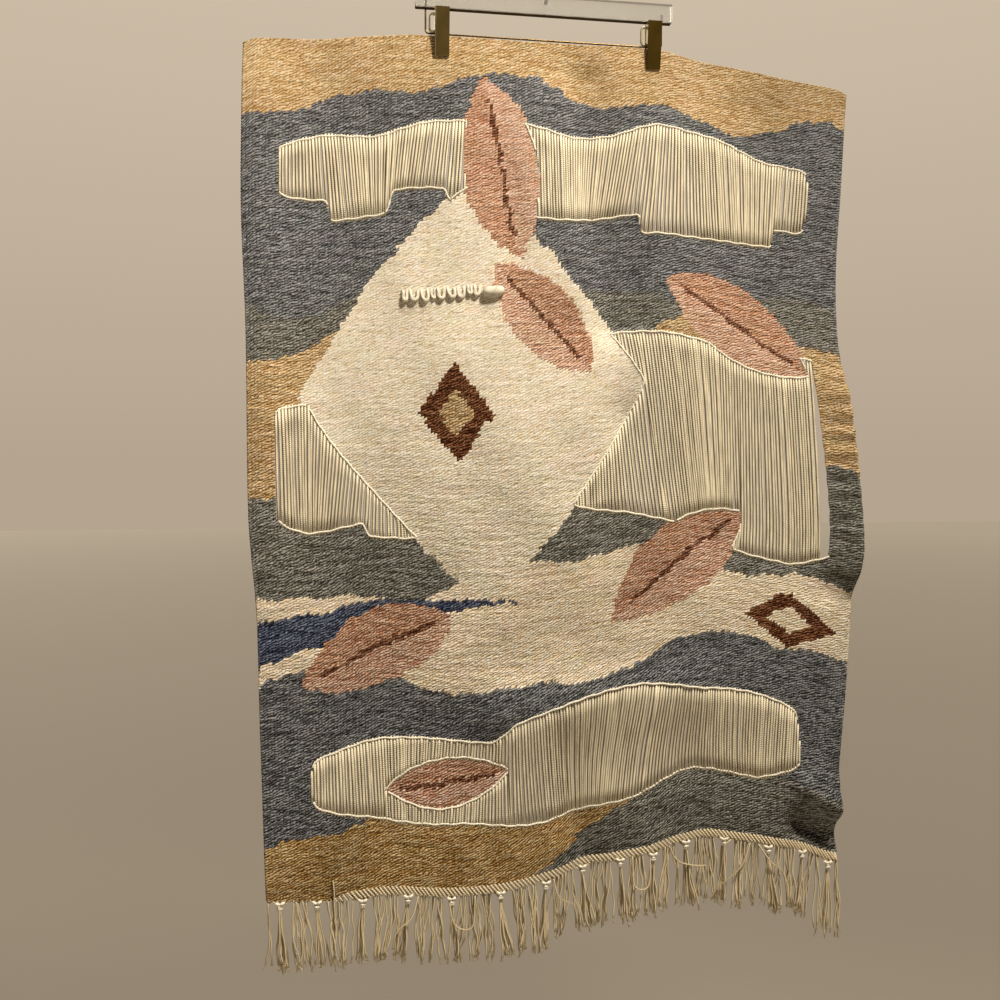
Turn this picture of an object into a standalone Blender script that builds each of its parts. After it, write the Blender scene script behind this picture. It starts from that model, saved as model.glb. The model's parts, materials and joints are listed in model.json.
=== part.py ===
"""A woven wool wall tapestry, 0.72 m wide, hanging from a clear clip hanger.

Metres. +Z is up, +X runs along the hanger bar, and the face of the cloth looks along -Y.
The origin is the point inside the hook that rests on whatever holds the hanger up.
"""

import math

import bmesh
import bpy
from mathutils import Vector
from mathutils.geometry import delaunay_2d_cdt

# ---- driving dimensions ------------------------------------------------------------------
CLOTH_WIDTH = 0.720        # flat width of the weaving
WOVEN_LENGTH = 0.975       # flat length of the wool weaving
HEADING_HEIGHT = 0.009     # twined cotton heading below the weaving
CLOTH_THICKNESS = 0.0030   # weft-faced wool
WARP_THICKNESS = 0.0018    # one bare cotton warp
HEADING_THICKNESS = 0.0042
FRINGE_THICKNESS = 0.0034
FRINGE_BAND = 0.006        # depth of the row where the fringe leaves the heading
FRINGE_GAP = 0.004         # free space between two bunches
FRINGE_TAPER = 0.003       # a bunch narrows by this on each side
FRINGE_CORNER = 0.005      # its outer strands end this much higher than its middle
SEAM = 0.0005              # free space between neighbouring pieces

BAR_LENGTH = 0.305
BAR_HEIGHT = 0.022
BAR_DEPTH = 0.010
BAR_BOTTOM_Z = -0.085
BAR_EDGE = 0.0012          # rounding of the bar's edges

ROD_RADIUS = 0.0011
ROD_DROP = 0.0285          # from the bar's underside to the rod's axis
ROD_LEG_X = 0.1405
ROD_CORNER = 0.004
ROD_SOCKET = 0.009         # how far a leg reaches into the bar

HOOK_WIRE = 0.0021         # radius
HOOK_INNER = 0.018         # inside radius of the hook's bow
HOOK_SOCKET = 0.009
HOOK_ARC = (-35.0, 212.0)  # degrees round the bow, from its neck to its tip
HOOK_NECK = 1.35           # neck's distance below the bow's middle, in bow radii
RUNNING_GAP = 0.0004       # between a wire and its socket

CLIP_X = {"left": -0.122, "right": 0.130}
CLIP_WIDTH = 0.017
CLIP_TOP_Z = -0.0862
CLIP_TIP_Z = -0.1395
CLIP_WALL = 0.0009
CLIP_TOP_Y = 0.0115        # outer face of a jaw at its finger end
CLIP_TIP_Y = 0.0042        # and at its tip
CLIP_GRIP_Y = 0.0018       # inner face of a jaw where it meets the cloth
CLIP_PAD = 0.016           # height of the gripping pad
CLIP_STEP = 0.0008         # a flange's edge stands this far behind the pad
CLIP_STEP_RISE = 0.004     # height over which it steps back
CLIP_EDGE = 0.00025        # rounding of a jaw's edges

SPRING_WIRE = 0.0006
SPRING_HALF_WIDTH = 0.0027
SPRING_HALF_HEIGHT = 0.0098
SPRING_PITCH = 0.0016
SPRING_MID_Z = -0.1010
SPRING_LEG = 0.005         # how far the wire's ends reach between the jaws

# ---- the hanging shape of the cloth ------------------------------------------------------
# Each edge is a smooth curve through its rows.
# share of the way down, x
LEFT_EDGE = (
    (0.00, -0.344), (0.18, -0.347), (0.34, -0.343), (0.54, -0.342),
    (0.66, -0.334), (0.80, -0.331), (1.00, -0.326),
)
RIGHT_EDGE = (
    (0.00, 0.376), (0.12, 0.370), (0.24, 0.366), (0.34, 0.370), (0.42, 0.381),
    (0.50, 0.390), (0.58, 0.396), (0.63, 0.392), (0.70, 0.388), (0.80, 0.383),
    (0.90, 0.377), (1.00, 0.379),
)
# share of the way across, z
TOP_EDGE = (
    (0.00, -0.139), (0.02, -0.133), (0.12, -0.128), (0.20, -0.121), (0.28, -0.1165),
    (0.50, -0.1165), (0.67, -0.1170), (0.73, -0.126), (0.82, -0.134), (0.92, -0.144),
    (0.98, -0.150), (1.00, -0.156),
)
BOTTOM_EDGE = (
    (0.00, -1.113), (0.10, -1.121), (0.19, -1.114), (0.29, -1.122), (0.38, -1.120),
    (0.48, -1.109), (0.56, -1.095), (0.63, -1.085), (0.71, -1.073), (0.76, -1.071),
    (0.85, -1.079), (0.90, -1.087), (0.94, -1.096), (0.98, -1.108), (1.00, -1.111),
)
# Soft ridges and troughs, each along a straight line. A negative rise comes forward.
# x at start, z at start, x at end, z at end, half width, rise
FOLDS = (
    (-0.345, -0.20, -0.330, -1.08, 0.055, -0.013),   # left edge curls forward
    (-0.215, -0.26, -0.225, -0.92, 0.085, 0.008),    # long shallow trough beside it
    (-0.010, -0.19, 0.020, -0.40, 0.034, -0.007),    # ridge between the clips
    (0.048, -0.16, 0.085, -0.44, 0.030, 0.010),      # trough between the clips
    (0.150, -0.24, 0.165, -0.52, 0.045, -0.008),     # ridge under the right clip
    (0.275, -0.20, 0.300, -0.42, 0.060, 0.009),      # sag beyond the right clip
    (-0.060, -0.50, 0.020, -0.72, 0.070, -0.007),    # belly of the middle
    (0.105, -0.56, 0.140, -0.62, 0.028, 0.006),      # pucker
    (0.395, -0.53, 0.410, -0.74, 0.042, -0.022),     # right border buckles forward
    (0.250, -0.55, 0.260, -0.70, 0.060, 0.006),      # bare warps set back beside it
    (0.370, -0.762, 0.400, -0.775, 0.022, 0.010),    # tuck under the buckle
    (-0.040, -0.905, 0.180, -0.885, 0.036, -0.014),  # overhang above the low opening
    (0.040, -0.975, 0.240, -0.960, 0.040, 0.009),    # bare warps set back below it
    (0.335, -1.015, 0.372, -1.040, 0.024, -0.015),   # crumpled corner, its ridge
    (0.330, -1.062, 0.385, -1.078, 0.020, 0.011),    # crumpled corner, its trough
    (0.040, -1.040, 0.055, -1.110, 0.026, 0.009),    # pleat in the lower edge
    (-0.130, -1.020, -0.120, -1.120, 0.045, -0.006), # lower edge swings forward
)
LOWER_WAVE = 0.0045        # extra sway of the lower edge
LOWER_WAVE_LENGTH = 0.165
LOWER_WAVE_START_Z = -0.86
LOWER_WAVE_FADE = 0.20     # it grows to its full sway over this height
HELD_RADIUS = 0.055        # round a clip the cloth stays flat
GRIP_BELOW_ROD = 0.010     # middle of that flat place, below the clip rod

# ---- openings left in the weaving, where the warps run bare ------------------------------
# Outlines in flat cloth: distance across, distance down.
OPENINGS = {
    "upper_left": (
        (0.042, 0.122), (0.090, 0.106), (0.150, 0.110), (0.215, 0.094), (0.304, 0.098),
        (0.286, 0.186), (0.236, 0.182), (0.228, 0.170), (0.172, 0.172), (0.160, 0.198),
        (0.100, 0.202), (0.092, 0.180), (0.042, 0.174),
    ),
    "upper_right": (
        (0.306, 0.098), (0.372, 0.106), (0.430, 0.104), (0.480, 0.090), (0.560, 0.092),
        (0.620, 0.106), (0.676, 0.112), (0.676, 0.184), (0.640, 0.190), (0.634, 0.212),
        (0.560, 0.218), (0.470, 0.222), (0.462, 0.200), (0.370, 0.206), (0.288, 0.186),
    ),
    "left": (
        (0.030, 0.420), (0.070, 0.408), (0.170, 0.404), (0.200, 0.560), (0.132, 0.568),
        (0.122, 0.552), (0.060, 0.556), (0.030, 0.540),
    ),
    "right": (
        (0.400, 0.350), (0.500, 0.342), (0.590, 0.352), (0.684, 0.346), (0.688, 0.480),
        (0.684, 0.598), (0.640, 0.618), (0.575, 0.612), (0.500, 0.580), (0.440, 0.560),
        (0.360, 0.530),
    ),
    "low": (
        (0.060, 0.820), (0.120, 0.804), (0.196, 0.800), (0.270, 0.806), (0.300, 0.786),
        (0.370, 0.772), (0.450, 0.768), (0.530, 0.786), (0.600, 0.790), (0.655, 0.806),
        (0.664, 0.872), (0.610, 0.900), (0.520, 0.894), (0.440, 0.912), (0.330, 0.914),
        (0.240, 0.900), (0.150, 0.898), (0.060, 0.872),
    ),
}
# Woven leaves that stand in or beside the openings.
# across and down of the middle, length, width, turn in degrees
LEAVES = {
    "top_leaf": (0.296, 0.146, 0.200, 0.086, 102.0),
    "right_leaf": (0.590, 0.322, 0.196, 0.088, -28.0),
    "middle_leaf": (0.498, 0.622, 0.200, 0.086, 38.0),
    "low_leaf": (0.216, 0.852, 0.150, 0.056, 8.0),
}
ISLAND = "low_leaf"        # this leaf is held by bare warps all round
# The large woven lozenge: across and down of its middle, half width, half height, fullness.
LOZENGE = (0.262, 0.400, 0.200, 0.235, 1.18)

# ---- fringe and loops ---------------------------------------------------------------------
# Each bunch: its knot's x, length, lean of its end.
FRINGE_BUNCHES = (
    (-0.312, 0.080, 0.004), (-0.270, 0.076, 0.006), (-0.217, 0.072, -0.004),
    (-0.164, 0.074, -0.008), (-0.112, 0.078, 0.004), (-0.054, 0.077, 0.006),
    (0.002, 0.080, -0.002), (0.050, 0.076, 0.008), (0.094, 0.074, 0.004),
    (0.134, 0.072, 0.000), (0.178, 0.078, 0.006), (0.228, 0.076, -0.002),
    (0.282, 0.080, 0.004), (0.330, 0.074, -0.004), (0.366, 0.096, 0.002),
)
LOOP_ROW = (0.238, 0.285)  # across and down of the middle of the raised row
LOOP_ROW_LENGTH = 0.118
LOOP_COUNT = 9
LOOP_SIZE = 0.0062         # radius of one loop's bulge
LOOP_WAIST = 0.55          # share of that size between two loops
LOOP_FIRST = 0.75          # share of that size at the row's left end
LOOP_LAST = 1.10           # and at its right end
LOOP_SIDES = 8
LOOP_RINGS = 4             # rings of one loop

# ---- how finely the solids are cut --------------------------------------------------------
PANEL_STEP = 0.026
OPENING_STEP = 0.030
EDGE_STEP = 0.020
ROW_PIECES = 48            # pieces of the cloth's upper and lower edge
LEAF_SIDES = 12
LOZENGE_SIDES = 40
WIRE_STEPS = 2             # bevel resolution of thin wires
HOOK_STEPS = 30
NECK_STEPS = 9
FRINGE_STEP = 0.024
FRINGE_FILL = 0.050
SLIVER_AREA = 1e-8         # flat triangles between points of one straight side are left out
CUT_PAST = 0.004           # how far a cutter reaches past the surface it opens


def clear_scene():
    for ob in list(bpy.data.objects):
        bpy.data.objects.remove(ob, do_unlink=True)


def make_material(name, colour, roughness, metallic=0.0, transmission=0.0):
    mat = bpy.data.materials.new(name)
    mat.use_nodes = True
    shader = mat.node_tree.nodes["Principled BSDF"]
    shader.inputs["Base Color"].default_value = (*colour, 1.0)
    shader.inputs["Roughness"].default_value = roughness
    shader.inputs["Metallic"].default_value = metallic
    shader.inputs["Transmission Weight"].default_value = transmission
    return mat


def link(name, mesh, material):
    ob = bpy.data.objects.new(name, mesh)
    bpy.context.scene.collection.objects.link(ob)
    mesh.materials.append(material)
    return ob


# ---- curves and the cloth's shape ---------------------------------------------------------
def smooth_curve(rows, at):
    """Value of a smooth curve through rows of (share, value)."""
    at = min(max(at, rows[0][0]), rows[-1][0])
    last = len(rows) - 2
    k = min(next((i for i in range(last + 1) if at <= rows[i + 1][0]), last), last)

    def slope(i):
        a, b = rows[max(i - 1, 0)], rows[min(i + 1, len(rows) - 1)]
        return (b[1] - a[1]) / (b[0] - a[0])

    (s0, v0), (s1, v1) = rows[k], rows[k + 1]
    span = s1 - s0
    t = (at - s0) / span
    return (
        (2 * t**3 - 3 * t**2 + 1) * v0
        + (t**3 - 2 * t**2 + t) * span * slope(k)
        + (3 * t**2 - 2 * t**3) * v1
        + (t**3 - t**2) * span * slope(k + 1)
    )


def distance_to_line(x, z, fold):
    x0, z0, x1, z1 = fold[:4]
    along = Vector((x1 - x0, z1 - z0))
    t = Vector((x - x0, z - z0)).dot(along) / along.length_squared
    t = min(max(t, 0.0), 1.0)
    return math.hypot(x - x0 - t * along.x, z - z0 - t * along.y)


def relief(x, z):
    """How far the cloth stands behind (+) or before (-) the hanger's plane."""
    y = sum(f[5] * math.exp(-((distance_to_line(x, z, f) / f[4]) ** 2)) for f in FOLDS)
    sway = min(max((LOWER_WAVE_START_Z - z) / LOWER_WAVE_FADE, 0.0), 1.0)
    y += LOWER_WAVE * sway * math.sin(2 * math.pi * x / LOWER_WAVE_LENGTH)
    grip_z = BAR_BOTTOM_Z - ROD_DROP - GRIP_BELOW_ROD
    for clip_x in CLIP_X.values():
        away = math.hypot(x - clip_x, z - grip_z) / HELD_RADIUS
        y *= 1.0 - math.exp(-(away**4))
    return y


def place(across, down):
    """Where a point of the flat cloth hangs."""
    total = WOVEN_LENGTH + HEADING_HEIGHT
    s, t = across / CLOTH_WIDTH, down / total
    left, right = smooth_curve(LEFT_EDGE, t), smooth_curve(RIGHT_EDGE, t)
    top, bottom = smooth_curve(TOP_EDGE, s), smooth_curve(BOTTOM_EDGE, s)
    x = left + (right - left) * s
    z = top + (bottom - top) * t
    return Vector((x, relief(x, z), z))


def place_fringe(across, below):
    """Where a point of the fringe hangs, a distance below the heading."""
    foot = place(across, WOVEN_LENGTH + HEADING_HEIGHT)
    return foot - Vector((0, 0, below))


# ---- flat outlines ------------------------------------------------------------------------
def leaf_outline(name, grow=0.0):
    """A pointed oval of two arcs."""
    across, down, length, width, turn = LEAVES[name]
    half, rise = length / 2 + grow, width / 2 + grow
    radius = (half**2 + rise**2) / (2 * rise)
    reach = math.asin(half / radius)
    points = []
    for side in (1, -1):
        for i in range(LEAF_SIDES):
            angle = side * reach * (2 * i / LEAF_SIDES - 1)
            points.append((radius * math.sin(angle),
                           side * (radius * math.cos(angle) - radius + rise)))
    c, s = math.cos(math.radians(turn)), math.sin(math.radians(turn))
    return [(across + x * c - y * s, down - x * s - y * c) for x, y in points]


def lozenge_outline(grow=0.0):
    across, down, half_width, half_height, fullness = LOZENGE
    points = []
    for i in range(LOZENGE_SIDES):
        angle = 2 * math.pi * i / LOZENGE_SIDES
        c, s = math.cos(angle), math.sin(angle)
        size = (abs(c) ** fullness + abs(s) ** fullness) ** (-1 / fullness)
        points.append((across + (half_width + grow) * size * c,
                       down + (half_height + grow) * size * s))
    return points


def inset(points, gap):
    """The same outline, moved inwards by gap."""
    turn = sum(a[0] * b[1] - b[0] * a[1] for a, b in zip(points, points[1:] + points[:1]))
    side = math.copysign(gap, turn)
    moved = []
    for i, point in enumerate(points):
        before, after = Vector(points[i - 1]), Vector(points[(i + 1) % len(points)])
        here = Vector(point)
        n1 = (here - before).orthogonal().normalized()
        n2 = (after - here).orthogonal().normalized()
        mitre = n1 + n2
        mitre *= side / max(mitre.dot(n1), 0.3)
        moved.append(tuple(here + mitre))
    return moved


def divided(points, step):
    """The outline with each side cut into pieces no longer than step."""
    out = []
    for i, a in enumerate(points):
        b = points[(i + 1) % len(points)]
        pieces = max(1, math.ceil(math.dist(a, b) / step))
        out += [(a[0] + (b[0] - a[0]) * k / pieces, a[1] + (b[1] - a[1]) * k / pieces)
                for k in range(pieces)]
    return out


def inside(point, outline):
    x, y = point
    found = False
    for i, (x1, y1) in enumerate(outline):
        x0, y0 = outline[i - 1]
        if (y0 > y) != (y1 > y) and x < (x1 - x0) * (y - y0) / (y1 - y0) + x0:
            found = not found
    return found


def nearest(point, outlines):
    return min(math.dist(point, corner) for outline in outlines for corner in outline)


def grid_points(box, step, outlines):
    """Staggered rows of points, kept away from the outlines."""
    low_x, low_y, high_x, high_y = box
    row, points = 0, []
    y = low_y + step / 2
    while y < high_y:
        x = low_x + step * (0.5 if row % 2 else 1.0)
        while x < high_x:
            if nearest((x, y), outlines) > 0.62 * step:
                points.append((x, y))
            x += step
        y += step * math.sqrt(3) / 2
        row += 1
    return points


# ---- sheets of cloth ----------------------------------------------------------------------
def sheet(name, outlines, keep, step, thickness, material, placed=place):
    """A sheet between the outlines, where keep(point) is true, hung in place.

    Its thickness is laid along Y, so neighbouring pieces keep their gap on every fold.
    """
    xs = [x for outline in outlines for x, _ in outline]
    ys = [y for outline in outlines for _, y in outline]
    points = grid_points((min(xs), min(ys), max(xs), max(ys)), step, outlines)
    edges = []
    for outline in outlines:
        first = len(points)
        points += outline
        edges += [(first + i, first + (i + 1) % len(outline)) for i in range(len(outline))]
    flat, _, faces = delaunay_2d_cdt([Vector(p) for p in points], edges, [], 0, 1e-7)[:3]
    kept = []
    for face in faces:
        a, b, c = (flat[i] for i in face)
        if abs((b - a).cross(c - a)) > SLIVER_AREA and keep(tuple((a + b + c) / 3)):
            kept.append(face)
    bm = bmesh.new()
    verts = {}
    for face in kept:
        for i in face:
            if i not in verts:
                verts[i] = bm.verts.new(placed(*flat[i]))
        bm.faces.new([verts[i] for i in face])
    bmesh.ops.translate(bm, verts=bm.verts, vec=(0, -thickness / 2, 0))
    moved = bmesh.ops.extrude_face_region(bm, geom=list(bm.faces))["geom"]
    back = [v for v in moved if isinstance(v, bmesh.types.BMVert)]
    bmesh.ops.translate(bm, verts=back, vec=(0, thickness, 0))
    bmesh.ops.recalc_face_normals(bm, faces=bm.faces)
    mesh = bpy.data.meshes.new(name)
    bm.to_mesh(mesh)
    bm.free()
    mesh.shade_smooth()
    mesh.set_sharp_from_angle(angle=math.radians(50))
    return link(name, mesh, material)


def row_across(down):
    """Points right across the cloth. Neighbouring pieces share them, so their gap is even."""
    return [(CLOTH_WIDTH * i / ROW_PIECES, down) for i in range(ROW_PIECES + 1)]


def woven_panel(material):
    border = divided(row_across(0.0) + row_across(WOVEN_LENGTH)[::-1], EDGE_STEP)
    openings = {name: divided(list(points), EDGE_STEP) for name, points in OPENINGS.items()}
    shapes = [leaf_outline(name) for name in LEAVES if name != ISLAND] + [lozenge_outline()]

    def keep(point):
        bare = any(inside(point, points) for points in openings.values())
        return inside(point, border) and (not bare or any(inside(point, s) for s in shapes))

    return sheet("woven_panel", [border, *openings.values(), *shapes], keep, PANEL_STEP,
                 CLOTH_THICKNESS, material)


def open_warps(name, material):
    """The bare warps of one opening, as one thin sheet."""
    outline = divided(inset(list(OPENINGS[name]), SEAM), EDGE_STEP)
    shapes = [leaf_outline(leaf, SEAM) for leaf in LEAVES] + [lozenge_outline(SEAM)]
    shapes = [s for s in shapes if any(inside(p, outline) for p in s)]

    def keep(point):
        return inside(point, outline) and not any(inside(point, s) for s in shapes)

    return sheet(f"open_warps_{name}", [outline, *shapes], keep, OPENING_STEP,
                 WARP_THICKNESS, material)


def leaf_island(material):
    outline = leaf_outline(ISLAND)
    return sheet("leaf_island", [outline], lambda p: inside(p, outline), PANEL_STEP,
                 CLOTH_THICKNESS, material)


def bottom_heading(material):
    outline = row_across(WOVEN_LENGTH + SEAM) + row_across(WOVEN_LENGTH + HEADING_HEIGHT)[::-1]
    return sheet("bottom_heading", [outline], lambda p: inside(p, outline), PANEL_STEP,
                 HEADING_THICKNESS, material)


def bunch_across(x):
    """Distance across the flat cloth of a knot at x."""
    left, right = LEFT_EDGE[-1][1], RIGHT_EDGE[-1][1]
    return (x - left) / (right - left) * CLOTH_WIDTH


def comb_outline():
    """The fringe's flat outline: a band along the top and one tooth for each bunch."""
    middles = [bunch_across(row[0]) for row in FRINGE_BUNCHES]
    bounds = [0.0]
    bounds += [(a + b) / 2 for a, b in zip(middles, middles[1:])]
    bounds.append(CLOTH_WIDTH)
    points = row_across(SEAM)[::-1]
    half_gap = FRINGE_GAP / 2
    for (_, length, lean), left, right in zip(FRINGE_BUNCHES, bounds, bounds[1:]):
        left_foot = left + half_gap if left > 0 else left
        right_foot = right - half_gap if right < CLOTH_WIDTH else right
        points += [(left_foot, FRINGE_BAND),
                   (left_foot + FRINGE_TAPER + lean, length - FRINGE_CORNER),
                   ((left_foot + right_foot) / 2 + lean, length),
                   (right_foot - FRINGE_TAPER + lean, length - FRINGE_CORNER),
                   (right_foot, FRINGE_BAND)]
    return points


def fringe(material):
    outline = divided(comb_outline(), FRINGE_STEP)
    return sheet("fringe", [outline], lambda p: inside(p, outline), FRINGE_FILL,
                 FRINGE_THICKNESS, material, place_fringe)


def loop_row(material):
    """A short row of fat loops standing on the face of the cloth."""
    across, down = LOOP_ROW
    bm = bmesh.new()
    sides, rings = LOOP_SIDES, LOOP_COUNT * LOOP_RINGS
    previous = None
    for i in range(rings + 1):
        along = i / rings
        at = across + (along - 0.5) * LOOP_ROW_LENGTH
        bulge = LOOP_WAIST + (1 - LOOP_WAIST) * abs(math.sin(math.pi * LOOP_COUNT * along))
        size = LOOP_SIZE * bulge * (LOOP_FIRST + (LOOP_LAST - LOOP_FIRST) * along)
        middle = place(at, down)
        middle.y -= CLOTH_THICKNESS / 2 + LOOP_SIZE * 1.1 + SEAM
        ring = []
        for k in range(sides):
            angle = 2 * math.pi * k / sides
            turn = Vector((0, size * math.cos(angle), size * math.sin(angle)))
            ring.append(bm.verts.new(middle + turn))
        if previous:
            for k in range(sides):
                bm.faces.new((previous[k], ring[k], ring[(k + 1) % sides], previous[(k + 1) % sides]))
        else:
            bm.faces.new(ring)
        previous = ring
    bm.faces.new(previous)
    bmesh.ops.recalc_face_normals(bm, faces=bm.faces)
    mesh = bpy.data.meshes.new("loop_row")
    bm.to_mesh(mesh)
    bm.free()
    mesh.shade_smooth()
    return link("loop_row", mesh, material)


# ---- hanger -------------------------------------------------------------------------------
def box_mesh(name, low, high):
    bm = bmesh.new()
    bmesh.ops.create_cube(bm, size=1.0)
    low, high = Vector(low), Vector(high)
    for v in bm.verts:
        v.co = Vector(((low[k] + high[k]) / 2 + v.co[k] * (high[k] - low[k]) for k in range(3)))
    mesh = bpy.data.meshes.new(name)
    bm.to_mesh(mesh)
    bm.free()
    return mesh


def cutter(name, mesh):
    ob = bpy.data.objects.new(name, mesh)
    bpy.context.scene.collection.objects.link(ob)
    ob.hide_render = True
    ob.display_type = "WIRE"
    return ob


def socket(name, x, z_low, z_high, radius):
    """A round cutter that drills the bar."""
    bm = bmesh.new()
    bmesh.ops.create_cone(bm, cap_ends=True, segments=20, radius1=radius, radius2=radius,
                          depth=z_high - z_low)
    bmesh.ops.translate(bm, verts=bm.verts, vec=(x, 0, (z_low + z_high) / 2))
    mesh = bpy.data.meshes.new(name)
    bm.to_mesh(mesh)
    bm.free()
    return cutter(name, mesh)


def subtract(ob, tool):
    cut = ob.modifiers.new(f"cut_{tool.name}", "BOOLEAN")
    cut.object = tool
    cut.operation = "DIFFERENCE"
    cut.solver = "EXACT"


def bevel(ob, width, segments=2):
    edge = ob.modifiers.new("edges", "BEVEL")
    edge.width = width
    edge.segments = segments
    edge.limit_method = "ANGLE"
    edge.angle_limit = math.radians(40)


def hanger_bar(material):
    half = BAR_LENGTH / 2
    mesh = box_mesh("hanger_bar", (-half, -BAR_DEPTH / 2, BAR_BOTTOM_Z),
                    (half, BAR_DEPTH / 2, BAR_BOTTOM_Z + BAR_HEIGHT))
    ob = link("hanger_bar", mesh, material)
    bevel(ob, BAR_EDGE, 3)
    top = BAR_BOTTOM_Z + BAR_HEIGHT
    for name, x in (("left", -ROD_LEG_X), ("right", ROD_LEG_X)):
        subtract(ob, socket(f"rod_socket_{name}", x, BAR_BOTTOM_Z - CUT_PAST,
                            BAR_BOTTOM_Z + ROD_SOCKET + RUNNING_GAP, ROD_RADIUS + RUNNING_GAP))
    subtract(ob, socket("hook_socket", 0.0, top - HOOK_SOCKET - RUNNING_GAP, top + CUT_PAST,
                        HOOK_WIRE + RUNNING_GAP))
    return ob


def wire(name, points, radius, material):
    curve = bpy.data.curves.new(name, "CURVE")
    curve.dimensions = "3D"
    curve.bevel_depth = radius
    curve.bevel_resolution = WIRE_STEPS
    curve.use_fill_caps = True
    spline = curve.splines.new("POLY")
    spline.points.add(len(points) - 1)
    for point, at in zip(spline.points, points):
        point.co = (*at, 1.0)
    spline.use_smooth = True
    ob = bpy.data.objects.new(name, curve)
    bpy.context.scene.collection.objects.link(ob)
    curve.materials.append(material)
    return ob


def arc(middle, radius, start, end, steps):
    """Points of an arc in the hanger's plane; angles in degrees from +X towards +Z."""
    x, z = middle
    angles = [math.radians(start + (end - start) * i / steps) for i in range(steps + 1)]
    return [Vector((x + radius * math.cos(a), 0, z + radius * math.sin(a))) for a in angles]


def hanger_hook(material):
    bow = HOOK_INNER + HOOK_WIRE
    foot_z = BAR_BOTTOM_Z + BAR_HEIGHT - HOOK_SOCKET
    round_part = arc((0, -HOOK_INNER), bow, *HOOK_ARC, HOOK_STEPS)
    neck = Vector((0, 0, -HOOK_INNER - bow * HOOK_NECK))
    start, pull = round_part[0], bow
    turn = (round_part[1] - round_part[0]).normalized()
    bend = []
    for i in range(NECK_STEPS):
        t = i / NECK_STEPS
        bend.append(
            (2 * t**3 - 3 * t**2 + 1) * neck + (t**3 - 2 * t**2 + t) * pull * Vector((0, 0, 1))
            + (3 * t**2 - 2 * t**3) * start + (t**3 - t**2) * pull * turn
        )
    stem = [Vector((0, 0, foot_z)), Vector((0, 0, (foot_z + neck.z) / 2))]
    return wire("hanger_hook", stem + bend + round_part, HOOK_WIRE, material)


def clip_rod(material):
    """One wire: a leg up into each end of the bar and a straight run between them."""
    run_z = BAR_BOTTOM_Z - ROD_DROP
    top_z = BAR_BOTTOM_Z + ROD_SOCKET
    turn_x, turn_z = ROD_LEG_X - ROD_CORNER, run_z + ROD_CORNER
    left = arc((-turn_x, turn_z), ROD_CORNER, 180, 270, 5)
    right = arc((turn_x, turn_z), ROD_CORNER, 270, 360, 5)
    ends = [Vector((-ROD_LEG_X, 0, top_z))], [Vector((ROD_LEG_X, 0, top_z))]
    return wire("clip_rod", ends[0] + left + right + ends[1], ROD_RADIUS, material)


def prism(name, profile, x_low, x_high):
    """A solid with this outline of (y, z) points, from x_low to x_high."""
    bm = bmesh.new()
    near = [bm.verts.new((x_low, y, z)) for y, z in profile]
    face = bm.faces.new(near)
    moved = bmesh.ops.extrude_face_region(bm, geom=[face])["geom"]
    verts = [v for v in moved if isinstance(v, bmesh.types.BMVert)]
    bmesh.ops.translate(bm, verts=verts, vec=(x_high - x_low, 0, 0))
    bmesh.ops.recalc_face_normals(bm, faces=bm.faces)
    mesh = bpy.data.meshes.new(name)
    bm.to_mesh(mesh)
    bm.free()
    return mesh


def clip_jaw(side, face, material):
    """A sprung channel: a flat plate, two side flanges and a gripping pad at its tip."""
    sign = -1 if face == "front" else 1
    middle, half = CLIP_X[side], CLIP_WIDTH / 2
    name = f"clip_{side}_{face}"
    flange_y = CLIP_GRIP_Y + CLIP_STEP
    pad_z = CLIP_TIP_Z + CLIP_PAD
    outer = [(sign * CLIP_TOP_Y, CLIP_TOP_Z), (sign * CLIP_TIP_Y, CLIP_TIP_Z),
             (sign * CLIP_GRIP_Y, CLIP_TIP_Z), (sign * CLIP_GRIP_Y, pad_z),
             (sign * flange_y, pad_z + CLIP_STEP_RISE), (sign * flange_y, CLIP_TOP_Z)]
    ob = link(name, prism(name, outer, middle - half, middle + half), material)
    lean = (CLIP_TOP_Y - CLIP_TIP_Y) / (CLIP_TOP_Z - CLIP_TIP_Z)
    above = CLIP_TOP_Z + CUT_PAST
    plate_top = CLIP_TOP_Y + lean * CUT_PAST - CLIP_WALL
    plate_low = CLIP_TIP_Y + lean * CLIP_PAD - CLIP_WALL
    hollow = [(sign * plate_top, above), (sign * plate_low, pad_z),
              (sign * (CLIP_GRIP_Y - CUT_PAST), pad_z), (sign * (CLIP_GRIP_Y - CUT_PAST), above)]
    subtract(ob, cutter(f"{name}_hollow", prism(f"{name}_hollow", hollow, middle - half + CLIP_WALL,
                                               middle + half - CLIP_WALL)))
    bevel(ob, CLIP_EDGE, 1)
    return ob


def clip_spring(side, material):
    """Two tall turns of wire at the clip's left, with a leg between the jaws at each end."""
    flank = CLIP_X[side] - CLIP_WIDTH / 2
    middle_x = flank - SPRING_HALF_WIDTH - SPRING_WIRE
    steps, turns = 24, 2
    coil = []
    for i in range(steps * turns + 1):
        angle = 2 * math.pi * i / steps
        coil.append(Vector((
            middle_x + SPRING_HALF_WIDTH * math.sin(angle),
            SPRING_PITCH * (i / steps - turns / 2),
            SPRING_MID_Z + SPRING_HALF_HEIGHT * math.cos(angle),
        )))
    legs = []
    for end in (coil[0], coil[-1]):
        legs.append([Vector((flank - SPRING_WIRE, end.y * 0.7, end.z)),
                     Vector((flank + SPRING_LEG, end.y * 0.5, end.z))])
    points = legs[0][::-1] + coil + legs[1]
    return wire(f"clip_{side}_spring", points, SPRING_WIRE, material)


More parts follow.
